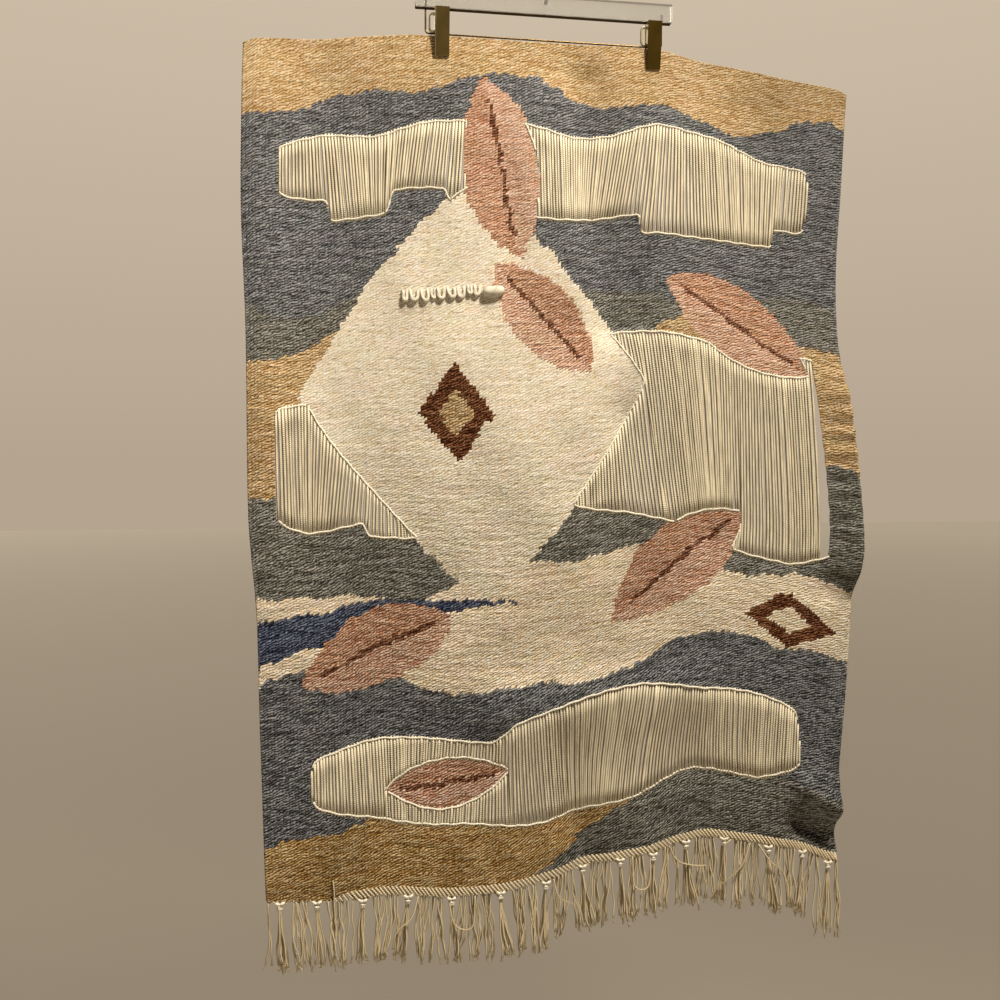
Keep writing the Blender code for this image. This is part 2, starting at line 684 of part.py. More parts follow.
def build():
    clear_scene()
    wool = make_material("wool", (0.62, 0.48, 0.34), 0.95)
    warp = make_material("cotton_warp", (0.82, 0.72, 0.55), 0.9)
    cotton = make_material("cotton_fringe", (0.76, 0.66, 0.46), 0.9)
    leaf = make_material("pink_wool", (0.55, 0.33, 0.24), 0.95)
    brass = make_material("brass", (0.55, 0.42, 0.18), 0.3, metallic=1.0)
    acrylic = make_material("clear_acrylic", (0.95, 0.95, 0.93), 0.05, transmission=1.0)
    woven_panel(wool)
    for name in OPENINGS:
        open_warps(name, warp)
    leaf_island(leaf)
    bottom_heading(cotton)
    fringe(cotton)
    loop_row(cotton)
    hanger_bar(acrylic)
    hanger_hook(brass)
    clip_rod(brass)
    for side in CLIP_X:
        clip_jaw(side, "front", brass)
        clip_jaw(side, "back", brass)
        clip_spring(side, brass)


build()
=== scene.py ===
# A woven wool wall hanging, held by the two clips of a clear hanger.
# Metres, +Z up. The face of the cloth looks along -Y, and the origin is inside the hanger's hook.
import json
import math

import bpy
import numpy as np
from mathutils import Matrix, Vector

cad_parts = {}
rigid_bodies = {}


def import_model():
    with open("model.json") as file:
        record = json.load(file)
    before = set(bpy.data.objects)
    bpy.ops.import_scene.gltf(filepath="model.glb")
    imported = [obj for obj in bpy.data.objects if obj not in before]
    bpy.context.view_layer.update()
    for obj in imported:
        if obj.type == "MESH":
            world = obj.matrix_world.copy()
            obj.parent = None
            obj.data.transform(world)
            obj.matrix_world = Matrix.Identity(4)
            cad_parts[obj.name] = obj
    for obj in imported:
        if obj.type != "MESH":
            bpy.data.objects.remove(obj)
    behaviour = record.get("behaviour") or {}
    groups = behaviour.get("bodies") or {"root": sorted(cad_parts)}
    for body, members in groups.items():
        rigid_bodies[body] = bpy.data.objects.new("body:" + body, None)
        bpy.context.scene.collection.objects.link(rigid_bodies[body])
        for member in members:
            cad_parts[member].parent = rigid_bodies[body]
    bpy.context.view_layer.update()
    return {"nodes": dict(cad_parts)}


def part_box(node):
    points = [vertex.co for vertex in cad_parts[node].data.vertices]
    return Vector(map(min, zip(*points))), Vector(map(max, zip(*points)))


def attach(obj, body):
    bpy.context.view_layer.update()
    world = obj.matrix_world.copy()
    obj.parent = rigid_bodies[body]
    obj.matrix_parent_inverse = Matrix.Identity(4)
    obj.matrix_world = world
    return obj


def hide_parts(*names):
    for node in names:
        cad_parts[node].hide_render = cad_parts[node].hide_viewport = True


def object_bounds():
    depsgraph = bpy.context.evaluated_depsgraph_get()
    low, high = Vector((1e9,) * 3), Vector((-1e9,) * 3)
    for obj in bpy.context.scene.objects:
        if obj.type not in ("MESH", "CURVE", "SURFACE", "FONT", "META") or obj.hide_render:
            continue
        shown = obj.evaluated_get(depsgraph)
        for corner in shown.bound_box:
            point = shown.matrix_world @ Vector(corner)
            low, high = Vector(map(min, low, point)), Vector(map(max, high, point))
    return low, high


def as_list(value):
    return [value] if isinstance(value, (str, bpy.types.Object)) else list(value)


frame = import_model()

barLow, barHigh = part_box("hanger_bar")
scene = bpy.context.scene
print("frame loaded,", len(frame["nodes"]), "nodes")


# camera and lamps
# places are measured from the middle of the bar's underside
view = {
    "place": (-0.2286, -1.1693, -0.5254),
    "aim": (-0.0538, 0.0, -0.5667),
    "lens": 36.0,
    "sensor": 36.0,
    "floor": 0.70,           # below the lowest thread
    "floorSide": 40.0,
    "backdrop": (0.46, 0.375, 0.28),      # at eye level
    "backdropTop": (0.61, 0.51, 0.39),
    "backdropHeight": 0.42,  # sine of the angle at which it is at its palest
    "roomLight": 0.08,       # share of the backdrop's brightness that lights the cloth
}
lamps = {                    # size in metres, or the sun's spread in degrees
    "key": {"kind": "AREA", "place": (0.351, -0.576, 0.595), "aim": (-0.045, -1.186, -0.092),
            "size": 0.24, "power": 50.3},
    "evening": {"kind": "SUN", "place": (0.25, -0.30, 0.92), "aim": (0.0, 0.0, 0.0),
                "size": 8.0, "power": 1.6},
    "fill": {"kind": "SUN", "place": (-0.40, 0.85, 0.30), "aim": (0.0, 0.0, 0.0),
             "size": 40.0, "power": 0.95},
}
lampColour = (1.0, 0.89, 0.74)


def pointed(ob, place, aim):
    ob.location = place
    ob.rotation_euler = (Vector(aim) - Vector(place)).to_track_quat("-Z", "Y").to_euler()
    scene.collection.objects.link(ob)


def setStage():
    under = Vector(((barLow.x + barHigh.x) / 2, (barLow.y + barHigh.y) / 2, barLow.z))
    camera = bpy.data.objects.new("camera", bpy.data.cameras.new("camera"))
    camera.data.lens = view["lens"]
    camera.data.sensor_width = view["sensor"]
    pointed(camera, under + Vector(view["place"]), under + Vector(view["aim"]))
    scene.camera = camera
    for name, lamp in lamps.items():
        light = bpy.data.objects.new(name, bpy.data.lights.new(name, lamp["kind"]))
        if lamp["kind"] == "SUN":
            light.data.angle = math.radians(lamp["size"])
        else:
            light.data.size = lamp["size"]
        light.data.energy = lamp["power"]
        light.data.color = lampColour
        pointed(light, under + Vector(lamp["place"]), under + Vector(lamp["aim"]))
        light.visible_camera = False
    scene.view_settings.view_transform = "Standard"


setStage()
print("camera and lamps set")


# shader nodes written as arithmetic
class Signal:
    def __init__(self, book, socket):
        self.book = book
        self.socket = socket

    def other(self, name):
        return Signal(self.book, self.socket.node.outputs[name])

    def clipped(self, low, high):
        return self.book.sum("MINIMUM", self.book.sum("MAXIMUM", self, low), high)

    def swing(self, size):
        # how far it is from its middle value
        return (self - 0.5) * size


operations = {
    "__add__": "ADD", "__sub__": "SUBTRACT", "__mul__": "MULTIPLY", "__truediv__": "DIVIDE",
    "__pow__": "POWER", "__mod__": "FLOORED_MODULO", "__lt__": "LESS_THAN", "__gt__": "GREATER_THAN",
    "__abs__": "ABSOLUTE", "floor": "FLOOR", "wave": "SINE",
}
numberFirst = {"__radd__": "ADD", "__rsub__": "SUBTRACT", "__rmul__": "MULTIPLY"}
for method, operation in operations.items():
    setattr(Signal, method, lambda a, *b, kind=operation: a.book.sum(kind, a, *b))
for method, operation in numberFirst.items():
    setattr(Signal, method, lambda a, b, kind=operation: a.book.sum(kind, b, a))


class NodeBook:
    def __init__(self, name, world=None):
        self.owner = world or bpy.data.materials.new(name)
        self.owner.use_nodes = True
        self.tree = self.owner.node_tree
        self.shader = self.tree.nodes.get("Principled BSDF")

    def plug(self, value, socket):
        if isinstance(value, Signal):
            self.tree.links.new(value.socket, socket)
        else:
            socket.default_value = value

    def add(self, kind, values=None, output=0, **settings):
        node = self.tree.nodes.new("ShaderNode" + kind)
        for name, setting in settings.items():
            setattr(node, name, setting)
        for key, value in (values or {}).items():
            self.plug(value, node.inputs[key])
        return Signal(self, node.outputs[output])

    def sum(self, operation, *terms):
        return self.add("Math", dict(enumerate(terms)), operation=operation)

    def parts(self, vector):
        x = self.add("SeparateXYZ", {"Vector": vector})
        return x, x.other("Y"), x.other("Z")

    def blend(self, share, colourA, colourB, kind="MIX"):
        values = {0: share, 6: colourA, 7: colourB}
        return self.add("Mix", values, 2, data_type="RGBA", blend_type=kind)

    def shaded(self, colour, tone):
        grey = self.add("CombineXYZ", dict.fromkeys("XYZ", tone))
        return self.blend(1.0, colour, grey, "MULTIPLY")

    def noise(self, detail=2.0, scale=1.0, **place):
        vector = self.add("CombineXYZ", place)
        return self.add("TexNoise", {"Vector": vector, "Scale": scale, "Detail": detail})

    def chance(self, **place):
        # a different number from 0 to 1 for each whole place
        return self.add("TexWhiteNoise", {"Vector": self.add("CombineXYZ", place)})

    def bump(self, height, distance, strength=1.0):
        normal = self.add("Bump", {"Height": height, "Distance": distance, "Strength": strength})
        self.plug(normal, self.shader.inputs["Normal"])

    def finish(self, **sockets):
        for name, value in sockets.items():
            self.plug(value, self.shader.inputs[name.replace("_", " ")])
        return self.owner


def tint(red, green, blue):
    return (red, green, blue, 1.0)


# how the cloth hangs
cloth = {
    "width": 0.720,
    "length": 0.975,         # the wool part, top to bottom
    "heading": 0.009,        # band of slanted cotton ends below it
    "thickness": 0.0028,
    "columns": 200,          # warps
    "rows": 296,             # beads of weft one above the other
    "fullness": 0.0012,      # small unevenness of the surface
    "lengths": ("clothTop", "clothUpper", "clothLower", "clothFoot"),    # equal, one below the other
}
warpPitch = cloth["width"] / cloth["columns"]
beadHeight = cloth["length"] / cloth["rows"]

percentAndMillimetres = (100, 1000)
leftEdge = np.array((    # percent of the way down, x in millimetres
    (0, -344), (18, -347), (34, -343), (54, -342), (66, -334), (80, -331), (100, -326),
)) / percentAndMillimetres
rightEdge = np.array((
    (0, 376), (12, 370), (24, 366), (34, 370), (42, 381), (50, 390),
    (58, 396), (63, 392), (70, 388), (80, 383), (90, 377), (100, 379),
)) / percentAndMillimetres
topEdge = np.array((     # percent of the way across, z in millimetres
    (0, -139), (2, -133), (12, -128), (20, -121), (28, -116.5), (50, -116.5),
    (67, -117), (73, -126), (82, -134), (92, -144), (98, -150), (100, -156),
)) / percentAndMillimetres
bottomEdge = np.array((
    (0, -1113), (10, -1121), (19, -1114), (29, -1122), (38, -1120),
    (48, -1109), (56, -1095), (63, -1085), (71, -1073), (76, -1071),
    (85, -1079), (90, -1087), (94, -1096), (98, -1108), (100, -1111),
)) / percentAndMillimetres
folds = (                # millimetres: from x, z to x, z, half width, how far back
    (-345, -200, -330, -1080, 55, -13), (-215, -260, -225, -920, 85, 8),
    (-10, -190, 20, -400, 34, -7), (48, -160, 85, -440, 30, 10), (150, -240, 165, -520, 45, -8),
    (275, -200, 300, -420, 60, 9), (-60, -500, 20, -720, 70, -7), (105, -560, 140, -620, 28, 6),
    (395, -530, 410, -740, 42, -22), (250, -550, 260, -700, 60, 6), (370, -762, 400, -775, 22, 10),
    (-40, -905, 180, -885, 36, -14), (40, -975, 240, -960, 40, 9),
    (335, -1015, 372, -1040, 24, -15), (330, -1062, 385, -1078, 20, 11),
    (40, -1040, 55, -1110, 26, 9), (-130, -1020, -120, -1120, 45, -6),
)
ripples = (              # middle x, z, spread in x, z, wave length, turn in degrees, depth
    (0.372, -0.60, 0.022, 0.130, 0.024, 90, 0.0016),
    (0.350, -1.04, 0.035, 0.050, 0.030, 60, 0.0022),
    (-0.330, -0.80, 0.020, 0.200, 0.045, 85, 0.0010),
    (0.030, -0.30, 0.090, 0.110, 0.052, 8, 0.0012),
    (0.060, -1.07, 0.300, 0.030, 0.060, 5, 0.0014),
)
lowerSway = {"depth": 0.0045, "wave": 0.165, "start": -0.86, "fade": 0.20}
grips = {"x": (-0.122, 0.130), "z": -0.1235, "radius": 0.055}


def hermite(t, start, end, leave, arrive):
    return ((2 * t**3 - 3 * t**2 + 1) * start + (t**3 - 2 * t**2 + t) * leave
            + (3 * t**2 - 2 * t**3) * end + (t**3 - t**2) * arrive)


def cosSin(degrees):
    return math.cos(math.radians(degrees)), math.sin(math.radians(degrees))


def smoothCurve(rows, at):
    along, values = np.array(rows, float).T
    last = len(along) - 1
    before = np.maximum(np.arange(last + 1) - 1, 0)
    after = np.minimum(np.arange(last + 1) + 1, last)
    slope = (values[after] - values[before]) / (along[after] - along[before])
    at = np.clip(at, along[0], along[-1])
    k = np.clip(np.searchsorted(along, at) - 1, 0, last - 1)
    span = along[k + 1] - along[k]
    return hermite((at - along[k]) / span, values[k], values[k + 1],
                   span * slope[k], span * slope[k + 1])


def relief(x, z):
    # how far the cloth stands behind the hanger's plane, or before it
    y = np.zeros(np.broadcast(x, z).shape)
    for x0, z0, x1, z1, halfWidth, rise in np.array(folds) / 1000:
        runX, runZ = x1 - x0, z1 - z0
        t = np.clip(((x - x0) * runX + (z - z0) * runZ) / (runX**2 + runZ**2), 0, 1)
        away = np.hypot(x - x0 - t * runX, z - z0 - t * runZ)
        y += rise * np.exp(-((away / halfWidth) ** 2))
    for midX, midZ, spreadX, spreadZ, length, turn, depth in ripples:
        reach = np.exp(-(((x - midX) / spreadX) ** 2) - ((z - midZ) / spreadZ) ** 2)
        c, s = cosSin(turn)
        y += depth * reach * np.sin(2 * math.pi * (x * c + z * s) / length + 9 * x)
    sway = np.clip((lowerSway["start"] - z) / lowerSway["fade"], 0, 1)
    y += lowerSway["depth"] * sway * np.sin(2 * math.pi * x / lowerSway["wave"])
    y += cloth["fullness"] * np.sin(41 * x + 3) * np.sin(33 * z + 11 * x)
    for gripX in grips["x"]:
        away = np.hypot(x - gripX, z - grips["z"]) / grips["radius"]
        y *= 1 - np.exp(-(away**4))
    return y


def hang(across, down):
    # where points of the flat cloth hang
    across, down = np.broadcast_arrays(np.asarray(across, float), np.asarray(down, float))
    s = across / cloth["width"]
    t = down / (cloth["length"] + cloth["heading"])
    left, right = smoothCurve(leftEdge, t), smoothCurve(rightEdge, t)
    top, bottom = smoothCurve(topEdge, s), smoothCurve(bottomEdge, s)
    x = left + (right - left) * s
    z = top + (bottom - top) * t
    return np.stack([x, relief(x, z), z], axis=-1)


# what is woven and what is left open
openings = {             # outlines in flat cloth: millimetres across, down
    "upperLeft": (
        (42, 122), (90, 106), (150, 110), (215, 94), (304, 98), (286, 186), (236, 182), (228, 170),
        (172, 172), (160, 198), (100, 202), (92, 180), (42, 174),
    ),
    "upperRight": (
        (306, 98), (372, 106), (430, 104), (480, 90), (560, 92), (620, 106), (676, 112),
        (676, 184), (640, 190), (634, 212), (560, 218), (470, 222), (462, 200), (370, 206),
        (288, 186),
    ),
    "left": (
        (30, 420), (70, 408), (170, 404), (200, 560), (132, 568), (122, 552), (60, 556), (30, 540),
    ),
    "right": (
        (400, 350), (500, 342), (590, 352), (684, 346), (685, 360), (685, 480), (685, 584),
        (684, 598), (640, 618), (575, 612), (500, 580), (440, 560), (360, 530),
    ),
    "low": (
        (60, 820), (120, 804), (196, 800), (270, 806), (300, 786), (370, 772), (450, 768),
        (530, 786), (600, 790), (655, 806), (664, 872), (610, 900), (520, 894), (440, 912),
        (330, 914), (240, 900), (150, 898), (60, 872),
    ),
}
leaves = {               # across and down of the middle, length, width, turn in degrees
    "topLeaf": (0.296, 0.146, 0.200, 0.086, 102.0),
    "rightLeaf": (0.590, 0.322, 0.196, 0.088, -28.0),
    "middleLeaf": (0.498, 0.622, 0.200, 0.086, 38.0),
    "lowLeaf": (0.216, 0.852, 0.150, 0.056, 8.0),
    "lozengeLeaf": (0.345, 0.318, 0.160, 0.070, -50.0),
    "leftLeaf": (0.135, 0.694, 0.180, 0.078, 22.0),
}
freeLeaf = "lowLeaf"     # held by bare warps all round
lozenge = {"middle": (0.262, 0.400), "half": (0.200, 0.235), "power": 1.18}
softCorner = 0.30        # how much an outline swings through its corners


def outlinePoints(corners, spacing=0.002):
    # a closed curve through the corners
    corners = np.array(corners) / 1000
    ahead, behind = np.roll(corners, -1, axis=0), np.roll(corners, 1, axis=0)
    pull = (ahead - behind) * softCorner
    out = []
    for a, b, *pulls in zip(corners, ahead, pull, np.roll(pull, -1, axis=0)):
        reach = np.linalg.norm(b - a)
        leave, arrive = (p * min(1.0, reach / max(np.linalg.norm(p), 1e-9) / 1.5) for p in pulls)
        out.append(hermite(np.arange(0, 1, spacing / reach)[:, None], a, b, leave, arrive))
    return np.concatenate(out)


def leafArc(length, width):
    half, rise = length / 2, width / 2
    return half, rise, (half**2 + rise**2) / (2 * rise)


def leafPoints(name, steps=60):
    across, down, length, width, turn = leaves[name]
    half, rise, radius = leafArc(length, width)
    reach = math.asin(half / radius)
    angle = np.linspace(-reach, reach, steps)[:-1]
    upper = np.stack([radius * np.sin(angle), radius * np.cos(angle) - radius + rise], axis=1)
    x, y = np.concatenate([upper, -upper]).T
    c, s = cosSin(turn)
    return np.stack([across + x * c - y * s, down - x * s - y * c], axis=1)


def lozengePoints(steps=240):
    angle = np.arange(steps) * 2 * math.pi / steps
    c, s = np.cos(angle), np.sin(angle)
    size = (abs(c) ** lozenge["power"] + abs(s) ** lozenge["power"]) ** (-1 / lozenge["power"])
    spots = np.stack([lozenge["half"][0] * size * c, lozenge["half"][1] * size * s], axis=1)
    return spots + np.array(lozenge["middle"])


def within(across, down, outline):
    found = np.zeros(np.shape(across), bool)
    for (x0, y0), (x1, y1) in zip(np.roll(outline, 1, axis=0), outline):
        if y0 != y1:
            crosses = (y0 > down) != (y1 > down)
            found ^= crosses & (across < (x1 - x0) * (down - y0) / (y1 - y0) + x0)
    return found


openOutlines = {name: outlinePoints(corners) for name, corners in openings.items()}
wovenShapes = {name: leafPoints(name) for name in leaves}
wovenShapes["lozenge"] = lozengePoints()


def isBare(across, down, only=None):
    bare = np.zeros(np.shape(across), bool)
    for name, outline in openOutlines.items():
        if only in (None, name):
            bare |= within(across, down, outline)
    for outline in wovenShapes.values():
        bare &= ~within(across, down, outline)
    return bare


def edgeAt(across, woven, bare):
    # the place between a woven and a bare point of one warp where the weaving ends
    for step in range(7):
        middle = (woven + bare) / 2
        free = isBare(across, middle)
        bare = np.where(free, middle, bare)
        woven = np.where(free, woven, middle)
    return (woven + bare) / 2


# wool and cotton
yarns = {
    "ochre": tint(0.53, 0.395, 0.225),
    "blue": tint(0.177, 0.185, 0.199),
    "slate": tint(0.205, 0.205, 0.186),
    "cream": tint(0.74, 0.690, 0.58),
    "pink": tint(0.522, 0.327, 0.228),
    "pale": tint(0.60, 0.415, 0.318),
    "rust": tint(0.150, 0.056, 0.022),
    "vein": tint(0.200, 0.090, 0.050),
    "navy": tint(0.085, 0.105, 0.170),
    "oldOchre": tint(0.49, 0.348, 0.164),
    "oldCream": tint(0.76, 0.685, 0.555),
}
layers = (               # each yarn begins below a wavy line: down, then size, pace, start of its waves
    ("slate", 0.285, ((0.020, 14, 0.6), (0.008, 37, 0.0))),
    ("ochre", 0.335, ((0.016, 16, 1.5), (0.010, 31, 1.0))),
    ("slate", 0.500, ((0.022, 13, 2.4), (0.008, 41, 0.0))),
    ("oldCream", 0.618, ((0.020, 12, 0.3), (0.008, 33, 2.0))),
    ("blue", 0.735, ((0.018, 11, 4.2), (0.008, 29, 2.0))),
    ("oldOchre", 0.898, ((0.020, 10, 2.0),)),
)
topBand = ("ochre", 0.060, ((0.016, 13, 1.0), (0.008, 33, 1.0)))
navyWedge = {"down": 0.655, "wave": (0.016, 9, 3.0), "depth": 0.05, "reach": 0.30}
lowerSlant = {"down": 0.995, "wave": (0.010, 12, 5.2), "slope": 0.42, "from": 0.27, "rise": 0.105}
diamondCore = 0.48       # its share of the whole
diamonds = (             # across, down, half width, half height, yarn, yarn of its core
    (0.236, 0.424, 0.044, 0.058, "rust", "ochre"),
    (0.640, 0.690, 0.060, 0.036, "rust", "oldCream"),
)
wool = {
    "slant": 0.5,            # how far a bead climbs across one warp, in beads
    "wander": 2.0,           # how unevenly the beads are packed
    "jitter": 1.5,           # and over a few beads
    "relief": 0.0016,
    "deepenPerMetre": 1.10,         # how much the painted shade between the beads, the marks and the relief grow per metre down
    "rib": 0.26,             # how far the warps show as ribs
    "ragged": 1.7,           # how far picks miss the drawn line, in warps
    "feather": 0.016,        # how far the bands' edges jump up and down
    "overlap": 0.0045,       # how far a shape's yarn passes its outline
    "creviceShade": 1.30,         # depth of painted shade between the beads
    "shadow": (0.06, 0.75),  # between the beads at the lozenge, and more per metre further down
    "speckle": 0.40,         # bead to bead
    "streak": 0.70,          # along one pick
    "fluff": 1.25,           # soft blotches as wide as a bead
    "grain": 0.80,           # slanting light and dark strokes
    "beaten": 1.35,          # level streaks where the picks are packed more or less
    "cloud": 0.24,
    "patch": (0.32, 1.0),    # broad light and dark places, partly the yarn's tone and partly painted light and shade, and more per metre further down
    "fleck": (0.42, 0.61, 16.0),     # darkness, rarity, sharpness of marks where picks stand apart
    "even": 0.35,            # how far down the painted shade between the beads, the marks and the broad patches start to grow
    "lift": 1.13,
    "vein": 0.0028,          # half width of the line along a leaf
    "depth": (0.74, 2.6),    # least and most power of a yarn's colour
    "roughness": 0.92,
}
woolNoise = {            # detail, pace across, pace down, slant, which part of the noise
    "uneven": (2.0, 85.0, 60.0, 0.0, 0.0),
    "jostled": (2.0, 170.0, 165.0, 0.0, 5.0),
    "fluff": (2.0, 300.0, 430.0, 0.35, 4.0),
    "beaten": (3.0, 34.0, 185.0, 0.0, 9.0),
    "fleck": (2.0, 150.0, 430.0, 0.08, 12.0),
}
woolRelief = {"bead": 0.7, "grain": 0.9, "beaten": 2.4, "fluff": 1.1, "patch": 1.6}
woolTints = {            # bead by bead, and lot by lot
    "speckle": (tint(1.03, 0.99, 0.95), tint(0.97, 1.0, 1.05)),
    "lot": (tint(1.05, 0.975, 1.04), tint(0.95, 1.02, 0.94)),
}


def wavyLine(across, down, waves):
    line = down
    for size, pace, start in waves:
        line = (across * pace + start).wave() * size + line
    return line


def diamondMask(across, down, midX, midY, halfX, halfY, power=1.0):
    x = abs(across - midX) / halfX
    y = abs(down - midY) / halfY
    return (x**power + y**power) < 1.0


def leafMasks(name, across, down):
    midX, midY, length, width, turn = leaves[name]
    rise, radius = leafArc(length, width)[1:]
    c, s = cosSin(turn)
    x = (across - midX) * c - (down - midY) * s
    y = (across - midX) * (-s) - (down - midY) * c
    bow = x * x
    reach = (radius + wool["overlap"]) ** 2
    upper = (y + (radius - rise)) ** 2.0 + bow < reach
    lower = (y - (radius - rise)) ** 2.0 + bow < reach
    leaf = upper * lower
    vein = (abs(y) < wool["vein"]) * (abs(x) < length * 0.40) * leaf
    return leaf, leaf * (y > 0.0), vein


def pictureColour(book, across, down):
    # the yarn of each bead, laid one shape over another
    feather = book.noise(3.0, X=across * 34.0, Y=down * 6.0)
    edge = down + feather.swing(wool["feather"])
    shapes = [(edge > wavyLine(across, start, waves), yarn) for yarn, start, waves in layers]
    wedgeTop = wavyLine(across, navyWedge["down"], (navyWedge["wave"],))
    taper = ((navyWedge["reach"] - across) / navyWedge["reach"]).clipped(0.0, 1.0)
    shapes.append(((edge > wedgeTop) * (edge < wedgeTop + taper * navyWedge["depth"]), "navy"))
    slant = wavyLine(across, lowerSlant["down"], (lowerSlant["wave"],))
    ramp = (across - lowerSlant["from"]) * lowerSlant["slope"]
    shapes.append((edge > slant - ramp.clipped(0.0, lowerSlant["rise"]), "slate"))
    yarn, start, waves = topBand
    shapes.append((edge < wavyLine(across, start, waves), yarn))
    middle, half = lozenge["middle"], [h + wool["overlap"] for h in lozenge["half"]]
    shapes.append((diamondMask(across, down, *middle, *half, lozenge["power"]), "cream"))
    for midX, midY, halfX, halfY, yarn, core in diamonds:
        for size, colour in ((1.0, yarn), (diamondCore, core)):
            shapes.append((diamondMask(across, down, midX, midY, halfX * size, halfY * size), colour))
    for name in leaves:
        shapes += zip(leafMasks(name, across, down), ("pale", "pink", "vein"))
    colour = yarns["blue"]
    for mask, yarn in shapes:
        colour = book.blend(mask, colour, yarns[yarn])
    return colour


def woolMaterial():
    book = NodeBook("pictureWool")
    across, down = book.parts(book.add("UVMap", uv_map="flatCloth"))[:2]
    noise = {name: book.noise(detail, X=across * paceX, Y=(down + across * slant) * paceY, Z=part)
             for name, (detail, paceX, paceY, slant, part) in woolNoise.items()}
    place = across / warpPitch
    column = place.floor()
    inColumn = place - column
    odd = column % 2.0
    bead = down / beadHeight + odd * 0.5 + inColumn.swing(wool["slant"])
    bead = bead + noise["uneven"].swing(wool["wander"]) + noise["jostled"].swing(wool["jitter"])
    row = bead.floor()
    inBead = bead - row
    turnedBack = book.chance(X=(row / 2).floor(), Y=3.0).swing(wool["ragged"])
    midAcross = (column + 0.5 + turnedBack) * warpPitch
    midDown = (row - odd * 0.5 + 0.5) * beadHeight
    rib = (inColumn * math.pi).wave().clipped(0.0, 1.0)
    roll = (inBead * math.pi).wave().clipped(0.0, 1.0)
    height = (rib * wool["rib"] + (1 - wool["rib"])) * (roll ** 0.8)
    colour = pictureColour(book, midAcross, midDown)
    pale = book.add("RGBToBW", {"Color": colour})
    noise.update(
        bead=height,
        grain=book.noise(3.0, X=(across * 0.92 - down * 0.39) * 95.0,
                         Y=(across * 0.39 + down * 0.92) * 260.0),
        streak=book.noise(X=midAcross * 26.0, Y=row * 0.83, Z=odd * 7.0),
        patch=book.noise(3.0, X=midAcross * 12.0, Y=midDown * 42.0),
        speckle=book.chance(X=column, Y=row),
        lot=book.noise(X=across * 20.0 + 5.0, Y=down * 48.0),
    )
    # a power of the colour deepens dark yarn more than pale: it paints shade between the beads,
    # stronger further down, and deepens the marks
    gap = 1.0 - height
    lower = (down - wool["even"]).clipped(0.0, 1.0)
    deepenDown = lower * wool["deepenPerMetre"] + 0.92
    marks = ("speckle", "streak", "fluff", "grain", "beaten")
    uneven = sum(noise[name].swing(wool[name]) for name in marks)
    deep = 0.85 + (gap * gap * (1.9 - noise["grain"]) * wool["creviceShade"] - uneven) * deepenDown
    colour = book.add("Gamma", {"Color": colour, "Gamma": deep.clipped(*wool["depth"])})
    atMiddle, perMetre = wool["shadow"]
    toneAndShadePatches = noise["patch"].swing(lower * wool["patch"][1] + wool["patch"][0])
    dark, rare, sharp = wool["fleck"]
    fleck = ((noise["fleck"] - rare) * sharp).clipped(0.0, 1.0) * dark
    # painted shade between the beads, deeper further down, with broad patches of tone
    tone = (toneAndShadePatches + 1.0) * (1.0 - gap * (lower * perMetre + atMiddle)) * wool["lift"]
    tone = tone * (1.0 + noise["grain"].swing(wool["cloud"])) * (1.0 - fleck)
    for name, ends in woolTints.items():
        colour = book.blend(1.0, colour, book.blend(noise[name], *ends), "MULTIPLY")
    # pale wool scatters the light, so its relief shows less
    strength = (1.3 - pale * (1.9 - down * 0.9)).clipped(0.2, 1.0) * (0.8 + down * wool["deepenPerMetre"])
    book.bump(sum(noise[name] * share for name, share in woolRelief.items()),
              wool["relief"], strength.clipped(0.0, 1.0))
    return book.finish(Base_Color=book.shaded(colour, tone), Roughness=wool["roughness"],
                       Specular_IOR_Level=0.18)


cotton = {
    "hollow": tint(0.050, 0.031, 0.011),
    "plyShade": 0.30,          # painted shade between the plies
    "roughness": 0.85,
}
cottons = {              # colour, length of one turn of the ply, relief, shade on its flanks, patches of tone, which on the bare warps paint shade and light
    "warpCotton": (tint(1.0, 0.910, 0.695), 0.0046, 0.00025, 0.97, 1.3),
    "cordCotton": (tint(0.97, 0.93, 0.80), 0.0046, 0.00025, 0.0, 0.28),
    "fringeCotton": (tint(0.96, 0.82, 0.56), 0.0052, 0.00035, 0.70, 0.28),
    "loopWool": (tint(0.80, 0.745, 0.62), 0.030, 0.0005, 0.25, 0.28),
}


def cottonMaterial(name, colour, lay, relief, hollow, toneAndShadePatches):
    # hollow darkens the flanks of a strand, which its neighbours shade
    book = NodeBook(name)
    around, along = book.parts(book.add("UVMap", uv_map="strand"))[:2]
    ply = abs(((around + along / lay) * (2 * math.pi)).wave())
    flank = abs((around * (2 * math.pi) + math.pi / 2).wave())
    fibre = book.noise(3.0, X=around * 6.0, Y=along * 900.0)
    # painted shade in the grooves between the plies
    tone = (1.0 - cotton["plyShade"]) + (ply ** 0.6) * cotton["plyShade"]
    # patches of tone along and between strands; on the bare warps they paint shade on strands that
    # stand back and light on those that come forward
    tone = tone * (0.84 + fibre * 0.30) * (1.0 + book.noise(X=along * 24.0, Y=3.0).swing(toneAndShadePatches))
    shade = book.blend((flank ** 1.8) * hollow, book.shaded(colour, tone), cotton["hollow"])
    book.bump(ply + fibre * 0.4, relief)
    return book.finish(Base_Color=shade, Roughness=cotton["roughness"], Specular_IOR_Level=0.03)


pictureWool = woolMaterial()
warpCotton, cordCotton, fringeCotton, loopWool = (
    cottonMaterial(name, *look) for name, look in cottons.items())
print("yarn materials made")


# mesh helpers
def enrol(piece, slot, nodes=()):
    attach(piece, "root")
    if nodes:
        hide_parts(*nodes)
    return piece


def selectOnly(*pieces):
    bpy.ops.object.select_all(action="DESELECT")
    for piece in pieces:
        piece.select_set(True)
        bpy.context.view_layer.objects.active = pieces[0]


